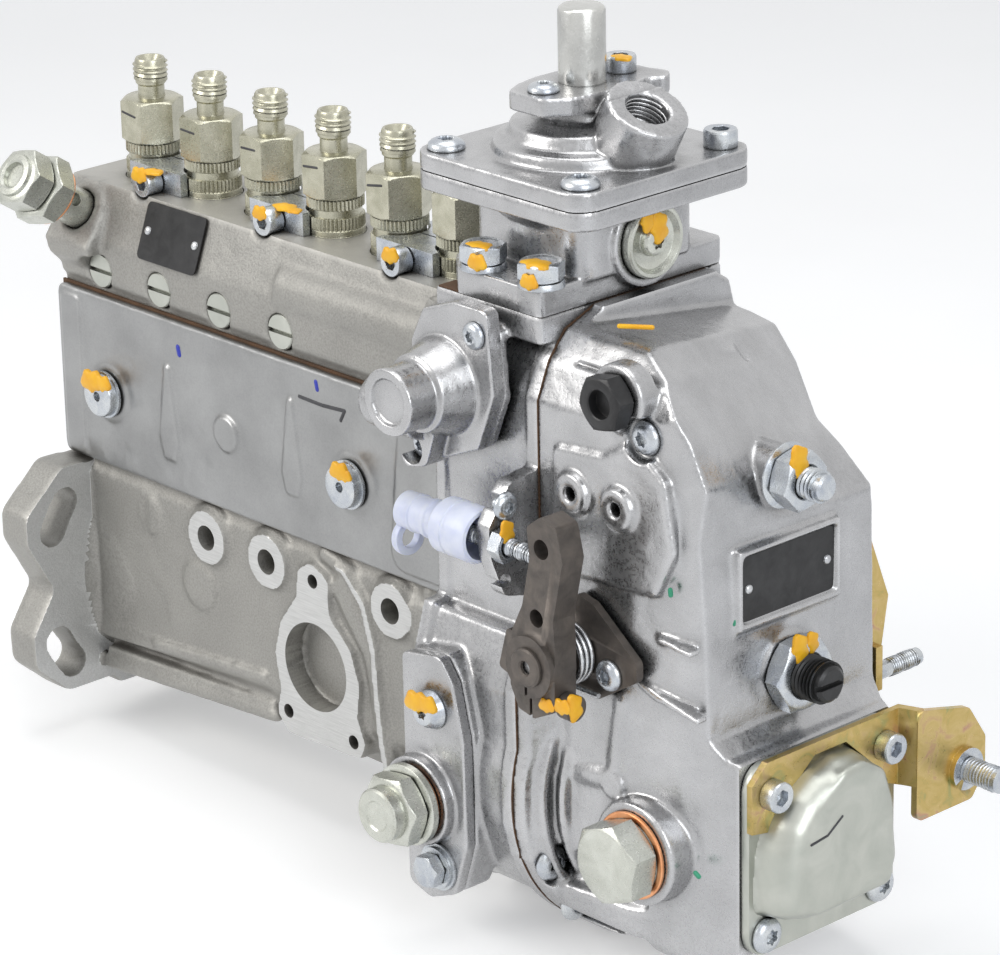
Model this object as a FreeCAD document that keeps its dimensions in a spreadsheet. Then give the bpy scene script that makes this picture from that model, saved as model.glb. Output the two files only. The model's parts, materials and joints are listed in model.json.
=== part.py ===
import FreeCAD, Part
import math
import os
import re
import Sketcher

# Diesel in-line injection pump with six elements, in millimetres.
# Origin: camshaft axis at the drive flange's mounting face.
# +X runs to the governor, -Y to the cover and lever side, +Z to the delivery valves.

V = FreeCAD.Vector
DOC = FreeCAD.newDocument("injection_pump")
SHEET = DOC.addObject("Spreadsheet::Sheet", "dims")

# Sizes: the frame of the pump
SIZES = {
    "pitch": 32.0,
    "first_x": 24.0,
    "flange_back": 14.0,
    "body_x": 2.0,
    "pump_end": 212.7,
    "deck_z": 144.5,
    "deck_half": 19.8,
    "slope_half": 26.7,
    "slope_z": 125.7,
    "wall_half": 27.0,
    "seat_half": 24.9,
    "seat_low": 41.5,
    "seat_high": 109.3,
    "sole_z": -33.0,
    "sole_half": 18.0,
    "sole_rise": 17.0,
    "cast_edge": 4.0,
    # flange slots and pilot
    "slot_circle": 50.0,
    "slot_half": 5.25,
    "slot_turn": 31.0,
    "slot_sweep": 12.6,
    "pilot_r": 34.0,
    "pilot_proud": 8.0,
    "relief": 0.6,
    "plate_depth": 10.8,
    # camshaft and cam chamber
    "chamber_r": 20.0,
    "rear_seat_x": 198.0,
    "bearing_r": 21.0,
    "bearing_wide": 15.0,
    "journal_r": 10.0,
    "cam_base_r": 11.0,
    "cam_nose_r": 5.0,
    "cam_lift": 8.0,
    "cam_wide": 9.0,
    "taper_long": 26.0,
    "taper_small": 7.4,
    "taper_end": -48.0,
    "shaft_end": 237.0,
    "key_wide": 4.0,
    # tappets, springs, plungers
    "tappet_r": 12.97,
    "tappet_bore": 13.0,
    "tappet_low": 22.5,
    "tappet_top": 50.0,
    "roller_r": 8.0,
    "roller_wide": 9.0,
    "roller_z": 27.4,
    "roller_gap": 0.7,
    "seat_plate_r": 10.0,
    "spring_r": 10.3,
    "spring_wire": 1.15,
    "spring_turns": 4.0,
    "ledge_z": 82.0,
    "ledge_thick": 3.0,
    "ledge_hole": 10.25,
    "chamber_low": 58.0,
    "rack_room_top": 104.0,
    "room_x": 10.0,
    "room_end": 204.0,
    "plunger_r": 4.75,
    "plunger_top": 118.0,
    "vane_z": 68.0,
    "vane_tall": 5.0,
    "vane_half": 7.5,
    "vane_thick": 3.0,
    # sleeve and rack
    "tube_r": 8.2,
    "tube_bore": 6.2,
    "sleeve_r": 9.8,
    "sleeve_bore": 8.6,
    "sleeve_low": 59.5,
    "sleeve_top": 96.0,
    "sleeve_step": 84.3,
    "slot_gap": 0.1,
    "tooth_pitch": 4.0,
    "segment_pitch_r": 12.0,
    "tooth_add": 0.9,
    "tooth_wide": 1.3,
    "rack_z": 90.0,
    "rack_y": 15.6,
    "rack_r": 4.5,
    "rack_gap": 2.7,
    "tooth_deep": 2.4,
    "rack_clear": 0.05,
    # barrels, valves and holders
    "barrel_r": 8.5,
    "barrel_low": 86.0,
    "shoulder_r": 9.4,
    "shoulder_z": 118.0,
    "barrel_top": 126.0,
    "bore_r": 10.0,
    "holder_low": 134.2,
    "holder_thread_r": 9.95,
    "holder_top": 186.0,
    "holder_r": 9.7,
    "holder_neck": 8.8,
    "knurl_top": 150.7,
    "neck_top": 153.5,
    "band_top": 157.0,
    "hex_flats": 19.0,
    "hex_top": 172.2,
    "holder_slim": 4.6,
    "slim_top": 177.0,
    "thread_r": 6.0,
    # clamps
    "clamp_x": 40.5,
    "clamp_z": 148.0,
    "clamp_half_long": 13.6,
    "clamp_front": 13.0,
    "clamp_tall": 8.0,
    "clamp_clear": 10.1,
    "clamp_split": 0.4,
    "clamp_head_r": 4.8,
    "clamp_head_y": 19.4,
    # gallery
    "gallery_r": 5.5,
    "gallery_y": 10.0,
    "gallery_z": 115.0,
    "plug_r": 6.2,
    "plug_face": 26.2,
    "port_x": 202.5,
    "port_z": 136.5,
    "port_r": 10.0,
    "port_thread": 6.5,
    "port_face": 28.6,
    "bulge_x": 118.0,
    "bulge_r": 11.0,
    "bulge_y": 17.0,
    "bulge_z": 128.0,
    # overflow valve
    "overflow_x": 14.0,
    "overflow_y": -26.0,
    "overflow_z": 135.0,
    "overflow_tilt": 34.0,
    "overflow_r": 11.0,
    # side of the lower body
    "machined_y": 29.5,
    "feed_x": 136.0,
    "feed_z": 0.5,
    "feed_r": 15.75,
    "feed_deep": 8.5,
    "ring_z": 32.0,
    "ring_r": 9.75,
    "ring_bore": 4.5,
    "ring_deep": 9.0,
    "tap_r": 2.6,
    "tap_deep": 13.0,
    # inspection cover
    "cover_x": 1.4,
    "cover_end": 208.2,
    "cover_low": 44.2,
    "cover_top": 106.7,
    "cover_face": 28.5,
    "gasket_thick": 0.9,
    "cover_bolt_a": 28.7,
    "cover_bolt_b": 157.0,
    "cover_bolt_z": 72.0,
    "cover_bolt_r": 7.5,
    # governor housing and cover
    "gov_x": 213.1,
    "gov_end": 261.9,
    "gov_front": 43.0,
    "gov_back": 38.0,
    "gov_top": 155.6,
    "drum_r": 57.0,
    "gov_wall": 4.5,
    "cap_x": 262.3,
    "cap_end": 338.5,
    "ear_y": 59.8,
    "stop_z": 88.3,
    "stop_r": 3.0,
    # lever
    "lever_x": 281.5,
    "lever_z": 55.0,
    "lever_hub_r": 10.0,
    "lever_back": 56.0,
    "lever_arm_face": 65.0,
    "lever_hub_face": 67.0,
    "shaft_r": 5.0,
    # closing cover
    "closing_x": 338.8,
    "closing_thick": 3.0,
    "closing_half": 33.0,
    "closing_low": -36.0,
    "closing_top": 29.0,
    "dome_deep": 15.0,
    # compensator
    "comp_x": 239.0,
    "comp_base": 156.0,
    "comp_flange_top": 164.5,
    "column_half": 25.5,
    "column_top": 184.5,
    "plate_half": 38.3,
    "plate_edge": 8.3,
    "plate_mid": 190.8,
    "plate_top": 196.8,
    "dome_top": 206.0,
    "oval_top": 218.0,
    "oval_thick": 6.0,
    "cap_r": 7.5,
    "cap_top": 242.0,
    "rod_r": 3.0,
}

# Outlines: points of cast shapes, each a pair of sheet cells
OUTLINES = {
    "flange": [(-26, -45), (-37.5, -45.1), (-56, -29), (-57, -17), (-46.5, -1), (-57, 18), (-57, 29),
               (-40, 44), (-28, 43.2)],
    "feed": [(127, 24), (128, 34), (135, 38.5), (143, 35), (144.5, 21), (154.5, 12), (158.8, 0),
             (157, -12), (161, -20.5), (158, -27), (121, -28.5), (114.5, -22), (117, -13), (114.6, 0),
             (118.2, 12.6)],
    "side_a": [(262.3, 156), (283, 156.5), (302, 156), (315, 151), (329, 135), (333, 118), (326, 98),
               (328, 69), (329, 35), (334, 30), (338.5, 29), (338.5, -36), (324, -41), (308, -42),
               (281, -47), (262.3, -57)],
    "side_b": [(262.3, 141), (272, 140), (282, 138), (290, 127), (298, 110), (310, 106), (327, 98),
               (328, 69), (329, 35), (334, 30), (338.5, 29), (338.5, -36), (324, -41), (308, -42),
               (281, -47), (262.3, -57)],
    "plan": [(262.3, -58), (266, -57), (272, -44.6), (300, -43.4), (320, -40), (338.5, -33.5), (338.5, 33.5),
             (326, 38), (276, 44), (266, 57), (262.3, 58)],
    "ear": [(-42, 108), (-55, 106.5), (-64.2, 94), (-63.5, 84), (-58, 70), (-42, 66)],
    "timing": [(215, 39), (233, 42), (239, 34), (243.5, 15), (243.8, -21), (238, -39), (226, -44), (216, -41)],
    "lever": [(271.5, 46), (272.5, 64), (277.4, 73.7), (281, 90), (280, 100), (286, 104.5), (293, 102.5),
              (295.5, 92), (291, 72), (291.5, 62), (291, 42), (282, 37.5), (275, 39)],
    "bush": [(268, 60), (283, 74), (290, 72.5), (309, 58), (309, 52), (292, 41.5), (272, 42)],
    "stop_flange": [(216, 100), (224, 103), (243, 111), (250.5, 130), (248, 157), (233, 157), (219, 152),
                    (213, 140)],
    "dome": [(-17, -22), (-17, -2), (-13, 14), (-4, 22.5), (6, 23.5), (15, 18), (19, 6), (19, -22)],
    "bracket": [(-33.5, 8), (-33.5, 24), (-27, 30), (24, 30), (29, 24), (31, 10), (24, 3), (19, 16),
                (8, 26), (-6, 26), (-17, 17), (-22, 6)],
    "strap": [(38.5, 79), (44, 78), (53, 55), (50, 38), (39.5, 33), (39.5, 52), (44, 56), (43, 64), (38.5, 68)],
    "oval": [(227, -16.5), (231, -24), (246, -24), (251, -16.5), (253, -8), (253, 8), (251, 16.5),
             (255, 22), (250, 27), (243, 25), (231, 24), (227, 16.5), (225, 8), (225, -8)],
}


def fill_sheet():
    """Put each size and each outline point into a cell with an alias."""
    cells = dict(SIZES)
    for name, points in OUTLINES.items():
        for k, (u, v) in enumerate(points):
            cells["%s_u%d" % (name, k)] = u
            cells["%s_v%d" % (name, k)] = v
    for row, (name, value) in enumerate(cells.items(), 1):
        SHEET.set("A%d" % row, name)
        SHEET.set("B%d" % row, str(value))
        SHEET.setAlias("B%d" % row, name)
    DOC.recompute()


fill_sheet()
TURN = {
    "X": FreeCAD.Rotation(V(0, 1, 0), 90),
    "-X": FreeCAD.Rotation(V(0, 1, 0), -90),
    "Y": FreeCAD.Rotation(V(1, 0, 0), -90),
    "-Y": FreeCAD.Rotation(V(1, 0, 0), 90),
    "Z": FreeCAD.Rotation(),
    "-Z": FreeCAD.Rotation(V(1, 0, 0), 180),
    "overflow": FreeCAD.Rotation(V(1, 0, 0), 90 - SIZES["overflow_tilt"]),
}
FUNCTIONS = ("sqrt", "sin", "cos", "tan")


def bound(text):
    """The text with each alias named as a cell of the sheet."""
    def named(match):
        word = match.group(0)
        return word if word in FUNCTIONS else "dims." + word
    return re.sub(r"[a-z_][a-z_0-9]*", named, str(text))


def size(text):
    """The value of an expression of sheet cells."""
    result = SHEET.evalExpression(bound(text))
    return float(getattr(result, "Value", result))


def bind(item, **texts):
    for key, text in texts.items():
        item.setExpression(key, bound(text))


def place(item, at, axis="Z"):
    """Turn the item's own Z to an axis and bind its place."""
    item.Placement = FreeCAD.Placement(V(0, 0, 0), TURN[axis])
    for key, text in zip("xyz", at):
        item.setExpression("Placement.Base." + key, bound(text))
    return item


def rod(axis, at, r, long):
    item = DOC.addObject("Part::Cylinder", "rod")
    bind(item, Radius=r, Height=long)
    return place(item, at, axis)


def cone(axis, at, r1, r2, long):
    item = DOC.addObject("Part::Cone", "cone")
    bind(item, Radius1=r1, Radius2=r2, Height=long)
    return place(item, at, axis)


def block(x0, x1, y0, y1, z0, z1):
    item = DOC.addObject("Part::Box", "block")
    bind(item, Length="(%s) - (%s)" % (x1, x0), Width="(%s) - (%s)" % (y1, y0),
         Height="(%s) - (%s)" % (z1, z0))
    return place(item, (x0, y0, z0))


def hexagon(axis, at, flats, long):
    item = DOC.addObject("Part::Prism", "hexagon")
    item.Polygon = 6
    bind(item, Circumradius="(%s) / sqrt(3)" % flats, Height=long)
    return place(item, at, axis)


def fuse(*items):
    item = DOC.addObject("Part::MultiFuse", "fusion")
    item.Shapes = list(items)
    return item


def cut(base, *tools):
    item = DOC.addObject("Part::Cut", "cut")
    item.Base = base
    item.Tool = tools[0] if len(tools) == 1 else fuse(*tools)
    return item


def common(*items):
    item = DOC.addObject("Part::MultiCommon", "common")
    item.Shapes = list(items)
    return item


def group(*items):
    item = DOC.addObject("Part::Compound", "group")
    item.Links = list(items)
    return item


def softened(base, radius, choose):
    """Fillet the edges that choose() picks out."""
    DOC.recompute()
    item = DOC.addObject("Part::Fillet", "soft")
    item.Base = base
    value = size(radius)
    item.Edges = [(k, value, value) for k, edge in enumerate(base.Shape.Edges, 1) if choose(edge)]
    return item


def along(axis):
    """A test for straight edges that run along an axis."""
    direction = {"X": V(1, 0, 0), "Y": V(0, 1, 0), "Z": V(0, 0, 1)}[axis]

    def test(edge):
        if edge.Curve.TypeId != "Part::GeomLine":
            return False
        return abs(edge.Curve.Direction.dot(direction)) > 0.999
    return test


def sketch_in(body, plane, points):
    """A closed outline on one of the body's own planes, each corner bound to cells."""
    item = body.newObject("Sketcher::SketchObject", "outline")
    origin = [f for f in body.Origin.OriginFeatures if f.Role == plane][0]
    item.AttachmentSupport = (origin, "")
    item.MapMode = "FlatFace"
    corners = [(size(u), size(v)) for u, v in points]
    count = len(corners)
    for k in range(count):
        a, b = corners[k], corners[(k + 1) % count]
        item.addGeometry(Part.LineSegment(V(a[0], a[1], 0), V(b[0], b[1], 0)), False)
    for k in range(count):
        item.addConstraint(Sketcher.Constraint("Coincident", k, 2, (k + 1) % count, 1))
    for k in range(count):
        for kind, text, value in zip(("DistanceX", "DistanceY"), points[k], corners[k]):
            number = item.addConstraint(Sketcher.Constraint(kind, -1, 1, k, 1, value))
            item.setExpression("Constraints[%d]" % number, bound(text))
    return item


def pad(plane, points, depth, at=("0", "0", "0"), edge=None):
    """An outline padded along its plane's normal: XY to +Z, XZ to -Y, YZ to +X."""
    body = DOC.addObject("PartDesign::Body", "padded")
    sketch = sketch_in(body, plane + "_Plane", points)
    feature = body.newObject("PartDesign::Pad", "pad")
    feature.Profile = sketch
    bind(feature, Length=depth)
    place(body, at)
    if edge:
        DOC.recompute()
        axis = {"XY": "Z", "XZ": "Y", "YZ": "X"}[plane]
        names = ["Edge%d" % k for k, e in enumerate(feature.Shape.Edges, 1) if along(axis)(e)]
        rounding = body.newObject("PartDesign::Fillet", "rounding")
        rounding.Base = (feature, names)
        bind(rounding, Radius=edge)
    return body


def turned(axis, at, profile):
    """A solid of revolution from half of its section, points as (radius, height)."""
    body = DOC.addObject("PartDesign::Body", "turned")
    sketch = sketch_in(body, "XZ_Plane", profile)
    feature = body.newObject("PartDesign::Revolution", "revolution")
    feature.Profile = sketch
    feature.ReferenceAxis = (sketch, ["V_Axis"])
    feature.Angle = 360
    return place(body, at, axis)


def stack(steps, start="0", bore=None):
    """A half section from (radius, height) steps, each step ending at its height."""
    inner = bore or "0"
    points = [(inner, start)]
    low = start
    for r, high in steps:
        points += [(r, low), (r, high)]
        low = high
    points.append((inner, low))
    return points


def outline(name):
    return [("%s_u%d" % (name, k), "%s_v%d" % (name, k)) for k in range(len(OUTLINES[name]))]


def element_x(k):
    return "first_x + pitch * %d" % k


NODES = {}


def node(name, item):
    """Give a finished sub-part the label that names its file."""
    item.Label = name
    NODES[name] = item
    return item


# Pump housing

def housing_section():
    """The body's section across the camshaft, with the cover's seat on -Y."""
    return [("-deck_half", "deck_z"), ("-slope_half", "slope_z"), ("-wall_half", "seat_high + 2"),
            ("-seat_half", "seat_high"), ("-seat_half", "seat_low"), ("-wall_half", "seat_low - 2"),
            ("-wall_half", "sole_z + sole_rise"), ("-sole_half", "sole_z"), ("sole_half", "sole_z"),
            ("wall_half", "sole_z + sole_rise"), ("wall_half", "slope_z"), ("deck_half", "deck_z")]


def mirrored_flange():
    left = outline("flange")
    right = [("-(%s)" % u, v) for u, v in reversed(left)]
    return left + right


def kidney_slots():
    """Four slots about the pilot, each an arc with round ends."""
    tools = []
    for side in ("slot_turn", "-slot_turn", "180 - slot_turn", "180 + slot_turn"):
        middle = size(side)
        arc = cut(rod("X", ("-1", "0", "0"), "slot_circle + slot_half", "flange_back + 2"),
                  rod("X", ("-2", "0", "0"), "slot_circle - slot_half", "flange_back + 4"))
        wedge = rod("X", ("-1", "0", "0"), "slot_circle + 2 * slot_half", "flange_back + 2")
        wedge.Angle = size("slot_sweep")
        turn = FreeCAD.Rotation(V(1, 0, 0), middle - size("slot_sweep") / 2 + 90)
        wedge.Placement = FreeCAD.Placement(V(-1, 0, 0), turn * TURN["X"])
        tools.append(common(arc, wedge))
        for end in ("slot_sweep / 2", "-slot_sweep / 2"):
            angle = math.radians(middle + size(end))
            y, z = size("slot_circle") * math.cos(angle), size("slot_circle") * math.sin(angle)
            tools.append(rod("X", ("-1", y, z), "slot_half", "flange_back + 2"))
    return tools


def overflow_boss():
    slab = pad("YZ", [("-10", "deck_z"), ("-18", "deck_z"), ("-33.6", "125"), ("-32", "119"),
                      ("-25", "112"), ("-10", "112")], "24", ("body_x", "0", "0"))
    boss = rod("overflow", ("overflow_x", "overflow_y + 6 * cos(overflow_tilt)",
                            "overflow_z - 6 * sin(overflow_tilt)"), "overflow_r", "7")
    return [slab, boss]


def side_bosses():
    """Everything that stands out from the lower wall on -Y."""
    items = [pad("XZ", outline("feed"), "machined_y - 20", ("0", "-20", "0"), "2.5")]
    for x in ("80", "112", "175"):
        items.append(cone("-Y", (x, "-20", "ring_z"), "ring_r + 1.5", "ring_r", "machined_y - 20"))
    items.append(cone("-Y", ("73", "-20", "12"), "10", "8.5", "8.6"))
    items.append(cone("-Y", ("47", "-20", "31"), "8", "6.5", "8.2"))
    rib = [("17", "-18"), ("108", "-10.5"), ("108", "-13.5"), ("17", "-21.5")]
    items.append(pad("XZ", rib, "3.5", ("0", "-25.5", "0")))
    rib = [("17", "-27"), ("110", "-21"), ("110", "-24.5"), ("17", "-31")]
    items.append(pad("XZ", rib, "9", ("0", "-18", "0")))
    rib = [("143", "32"), ("160", "10"), ("166", "-22"), ("171", "-26"), ("173", "-22"), ("166", "12"),
           ("150", "38")]
    items.append(pad("XZ", rib, "8.4", ("0", "-20", "0"), "1"))
    items.append(block("185", "191", "-28.8", "-20", "-20", "38"))
    items.append(block("pump_end - 9", "pump_end", "-31", "31", "sole_z + 2", "40"))
    return items


def housing_outside():
    body = pad("YZ", housing_section(), "pump_end - body_x", ("body_x", "0", "0"), "cast_edge / 2")
    flange = pad("YZ", mirrored_flange(), "flange_back", ("0", "0", "0"), "cast_edge")
    drum = cone("X", ("flange_back - 1", "0", "0"), "36", "27", "22")
    bulge = common(rod("X", ("bulge_x", "-bulge_y", "bulge_z"), "bulge_r", "pump_end - bulge_x"),
                   block("bulge_x", "pump_end", "-40", "0", "90", "deck_z"))
    port = rod("-Y", ("port_x", "-12", "port_z"), "port_r", "port_face - 12")
    back = pad("YZ", [("20", "112"), ("30", "110"), ("31", "100"), ("31", "78"), ("20", "70")],
               "pump_end - 8", ("4", "0", "0"))
    return fuse(body, flange, drum, bulge, port, back, *(overflow_boss() + side_bosses()))


def element_bores():
    tools = []
    for k in range(6):
        x = element_x(k)
        tools.append(rod("Z", (x, "0", "15"), "tappet_bore", "chamber_low - 14"))
        tools.append(rod("Z", (x, "0", "ledge_z - 1"), "ledge_hole", "ledge_thick + 2"))
        tools.append(rod("Z", (x, "0", "rack_room_top - 1"), "barrel_r + 0.3", "20"))
        tools.append(rod("Z", (x, "0", "shoulder_z"), "bore_r + 0.05", "deck_z + 1 - shoulder_z"))
    for k in range(4):
        tools.append(rod("-Y", (element_x(k), "-8", "gallery_z"), "plug_r", "30"))
    for k in range(3):
        x = "clamp_x + 2 * pitch * %d" % k
        tools.append(rod("-Y", (x, "-12.6", "clamp_z"), "clamp_head_r + 0.6", "12"))
    return tools


def housing_openings():
    rooms = [rod("X", ("plate_depth - 0.5", "0", "0"), "chamber_r", "rear_seat_x - plate_depth + 0.5"),
             rod("X", ("-1", "0", "0"), "pilot_r - 0.48", "plate_depth + 1"),
             rod("X", ("-1", "0", "0"), "pilot_r + relief", "1 + relief"),
             rod("X", ("rear_seat_x", "0", "0"), "bearing_r", "20"),
             block("room_x", "room_end", "-40", "15", "chamber_low", "ledge_z"),
             block("room_x", "room_end", "-40", "22.5", "ledge_z + ledge_thick", "rack_room_top"),
             rod("X", ("-1", "rack_y", "rack_z"), "rack_r + rack_clear", "pump_end + 2"),
             rod("X", ("room_x + 4", "-gallery_y", "gallery_z"), "gallery_r", "room_end - room_x - 8"),
             rod("-Y", ("port_x", "-14", "port_z"), "port_thread", "20"),
             rod("Z", ("port_x - 4", "-15", "gallery_z"), "3", "port_z - gallery_z"),
             rod("-Y", ("feed_x", "feed_deep - machined_y", "feed_z"), "feed_r", "feed_deep + 4"),
             rod("overflow", ("overflow_x", "overflow_y + 15 * cos(overflow_tilt)",
                              "overflow_z - 15 * sin(overflow_tilt)"), "7", "20")]
    for x in ("80", "112", "175"):
        rooms.append(rod("-Y", (x, "ring_deep - machined_y", "ring_z"), "ring_bore", "ring_deep + 4"))
    for x, z in (("136", "31.6"), ("121", "-20"), ("154.5", "-21.3")):
        rooms.append(rod("-Y", (x, "tap_deep - machined_y", z), "tap_r", "tap_deep + 4"))
    return rooms


def pump_housing():
    shell = cut(housing_outside(), *(housing_openings() + element_bores() + kidney_slots()))
    posts = []
    for x in ("cover_bolt_a", "cover_bolt_b"):
        posts.append(block("%s - 5" % x, "%s + 5" % x, "-seat_half", "-14.5", "chamber_low - 1", "ledge_z + 1"))
    holes = [rod("-Y", (x, "-16", "cover_bolt_z"), "3.05", "20") for x in ("cover_bolt_a", "cover_bolt_b")]
    return node("pump_housing", cut(fuse(shell, *posts), *holes))


# Drive end and camshaft

def drive_bearing_plate():
    steps = [("pilot_r - 0.02", "pilot_proud"), ("pilot_r - 0.5", "pilot_proud + plate_depth")]
    disc = turned("X", ("-pilot_proud", "0", "0"), stack(steps))
    seal = rod("X", ("-pilot_proud - 1", "0", "0"), "17", "4.7")
    seat = rod("X", ("plate_depth - bearing_wide", "0", "0"), "bearing_r", "bearing_wide + 1")
    through = rod("X", ("-20", "0", "0"), "13", "50")
    screws = [rod("X", ("-pilot_proud - 1", y, z), "3.4", "30") for y, z in screw_places()]
    sinks = [cone("X", ("-pilot_proud - 0.01", y, z), "6", "3.4", "3") for y, z in screw_places()]
    return node("drive_bearing_plate", cut(disc, seal, seat, through, *(screws + sinks)))


def screw_places():
    """Four sunk screws between the bearing seat and the pilot's edge."""
    return [("27 * cos(%d)" % a, "27 * sin(%d)" % a) for a in (45, 135, 225, 315)]


def bearing(x):
    """A plain stand-in for a taper roller bearing: two rings and twelve rollers."""
    outer = turned("X", (x, "0", "0"), [("bearing_r - 2.6", "0"), ("bearing_r", "0"), ("bearing_r", "bearing_wide"),
                                        ("bearing_r - 2.6", "bearing_wide")])
    inner = turned("X", (x, "0", "0"), [("journal_r", "0"), ("journal_r + 3", "0"),
                                        ("journal_r + 3", "bearing_wide"), ("journal_r", "bearing_wide")])
    rollers = []
    for k in range(12):
        angle = "%d" % (30 * k)
        at = ("%s + 2" % x, "(bearing_r - 5.3) * cos(%s)" % angle, "(bearing_r - 5.3) * sin(%s)" % angle)
        rollers.append(rod("X", at, "2.65", "bearing_wide - 4"))
    return [outer, inner] + rollers


def camshaft_bearings():
    front = bearing("plate_depth - bearing_wide")
    rear = bearing("rear_seat_x")
    return node("camshaft_bearings", group(*(front + rear)))


def shaft_seal():
    ring = [("journal_r + 0.06", "0"), ("16.95", "0"), ("16.95", "3.2"), ("12.6", "3.2"),
            ("journal_r + 0.06", "1.6")]
    return node("shaft_seal", turned("X", ("-pilot_proud + 0.1", "0", "0"), ring))


def cam(k, turn):
    """Base circle, nose circle and the two flanks that touch both."""
    x = "%s - cam_wide / 2" % element_x(k)
    angle = "%d" % turn
    reach = "(cam_base_r + cam_lift - cam_nose_r)"
    nose_at = (x, "%s * sin(%s)" % (reach, angle), "%s * cos(%s)" % (reach, angle))
    base = rod("X", (x, "0", "0"), "cam_base_r", "cam_wide")
    nose = rod("X", nose_at, "cam_nose_r", "cam_wide")
    distance = size(reach)
    lean = math.acos((size("cam_base_r") - size("cam_nose_r")) / distance)
    corners = []
    for side in (1, -1):
        direction = math.radians(turn) + side * lean
        along_u, along_v = math.sin(direction), math.cos(direction)
        nose_u = distance * math.sin(math.radians(turn)) + size("cam_nose_r") * along_u
        nose_v = distance * math.cos(math.radians(turn)) + size("cam_nose_r") * along_v
        pair = [(size("cam_base_r") * along_u, size("cam_base_r") * along_v), (nose_u, nose_v)]
        corners += pair if side == 1 else pair[::-1]
    flanks = pad("YZ", corners, "cam_wide", (x, "0", "0"))
    return [base, nose, flanks]


def camshaft():
    """Journals, six cams in firing order, the feed eccentric, the taper, its key and thread."""
    shaft = rod("X", ("-pilot_proud - 1", "0", "0"), "journal_r - 0.03", "shaft_end + pilot_proud + 1")
    core = rod("X", ("plate_depth + 0.6", "0", "0"), "cam_base_r - 0.5", "rear_seat_x - plate_depth - 1.2")
    taper = cone("-X", ("-pilot_proud - 1", "0", "0"), "journal_r - 0.03", "taper_small", "taper_long")
    thread = rod("-X", ("-pilot_proud - 1 - taper_long", "0", "0"), "thread_r",
                 "-taper_end - pilot_proud - 1 - taper_long")
    key = block("-pilot_proud - taper_long + 3", "-pilot_proud - 5", "-key_wide / 2", "key_wide / 2", "0",
                "journal_r + 1")
    eccentric = rod("X", ("feed_x - 4.5", "1.5", "0"), "13", "9")
    stub = rod("X", ("shaft_end", "0", "0"), "6", "25")
    pieces = [shaft, core, taper, thread, key, eccentric, stub]
    for k, turn in enumerate((15, 135, 255, 75, 195, 315)):
        pieces += cam(k, turn)
    return node("camshaft", fuse(*pieces))


# Elements

def tappet(k):
    """A barrel-shaped body with its roller and pin, and the lower spring plate on top."""
    x = element_x(k)
    body = rod("Z", (x, "0", "tappet_low"), "tappet_r", "tappet_top - tappet_low")
    slot = block("%s - roller_wide / 2 - roller_gap" % x, "%s + roller_wide / 2 + roller_gap" % x, "-20", "20",
                 "tappet_low - 1", "roller_z + roller_r + roller_gap")
    pin = rod("X", ("%s - 11" % x, "0", "roller_z"), "3.5", "22")
    roller = rod("X", ("%s - roller_wide / 2" % x, "0", "roller_z"), "roller_r", "roller_wide")
    plate = rod("Z", (x, "0", "tappet_top"), "seat_plate_r", "2")
    return node("tappet_%d" % (k + 1), fuse(cut(body, slot), pin, roller, plate))


def plunger(k):
    """Plunger with its foot, its vane and the helix groove near the top."""
    x = element_x(k)
    stem = rod("Z", (x, "0", "tappet_top + 2.2"), "plunger_r - 0.02", "plunger_top - tappet_top - 2.2")
    foot = rod("Z", (x, "0", "tappet_top + 2.2"), "7", "2")
    vane = block("%s - vane_half" % x, "%s + vane_half" % x, "-vane_thick / 2", "vane_thick / 2", "vane_z",
                 "vane_z + vane_tall")
    groove = cut(rod("Z", (x, "0", "106"), "plunger_r + 1", "2.5"), rod("Z", (x, "0", "105"), "3.6", "5"))
    relief = block("%s - 1" % x, "%s + 1" % x, "3.2", "6", "106", "plunger_top + 1")
    return node("plunger_%d" % (k + 1), cut(fuse(stem, foot, vane), groove, relief))


def segment_teeth(x):
    """Seven teeth about the sleeve, the middle one facing the rack."""
    teeth = []
    root = size("sleeve_r") - 0.5
    tip = size("segment_pitch_r + tooth_add")
    half = size("tooth_wide") / 2
    for number in range(-3, 4):
        angle = math.pi / 2 + number * size("tooth_pitch") / size("segment_pitch_r")
        along_u, along_v = math.cos(angle), math.sin(angle)
        corners = []
        for distance, side in ((root, 2.0 * half), (tip, 0.55 * half), (tip, -0.55 * half), (root, -2.0 * half)):
            corners.append((distance * along_u - side * along_v, distance * along_v + side * along_u))
        teeth.append(pad("XY", corners, "7.6", (x, "0", "rack_z - 3.8")))
    return teeth


def control_sleeve(k):
    """Slotted tube for the plunger's vane, and a toothed collar that the rack turns."""
    x = element_x(k)
    steps = [("tube_r", "sleeve_step - sleeve_low"), ("sleeve_r", "sleeve_top - sleeve_low")]
    outside = turned("Z", (x, "0", "sleeve_low"), stack(steps))
    bore = rod("Z", (x, "0", "sleeve_low - 1"), "tube_bore", "40")
    upper = rod("Z", (x, "0", "barrel_low - 0.3"), "sleeve_bore", "20")
    slot = block("%s - 9" % x, "%s + 9" % x, "-vane_thick / 2 - slot_gap", "vane_thick / 2 + slot_gap",
                 "sleeve_low - 1", "vane_z + vane_tall + 1.5")
    collar = fuse(outside, *segment_teeth(x))
    return node("control_sleeve_%d" % (k + 1), cut(collar, bore, upper, slot))


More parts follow.
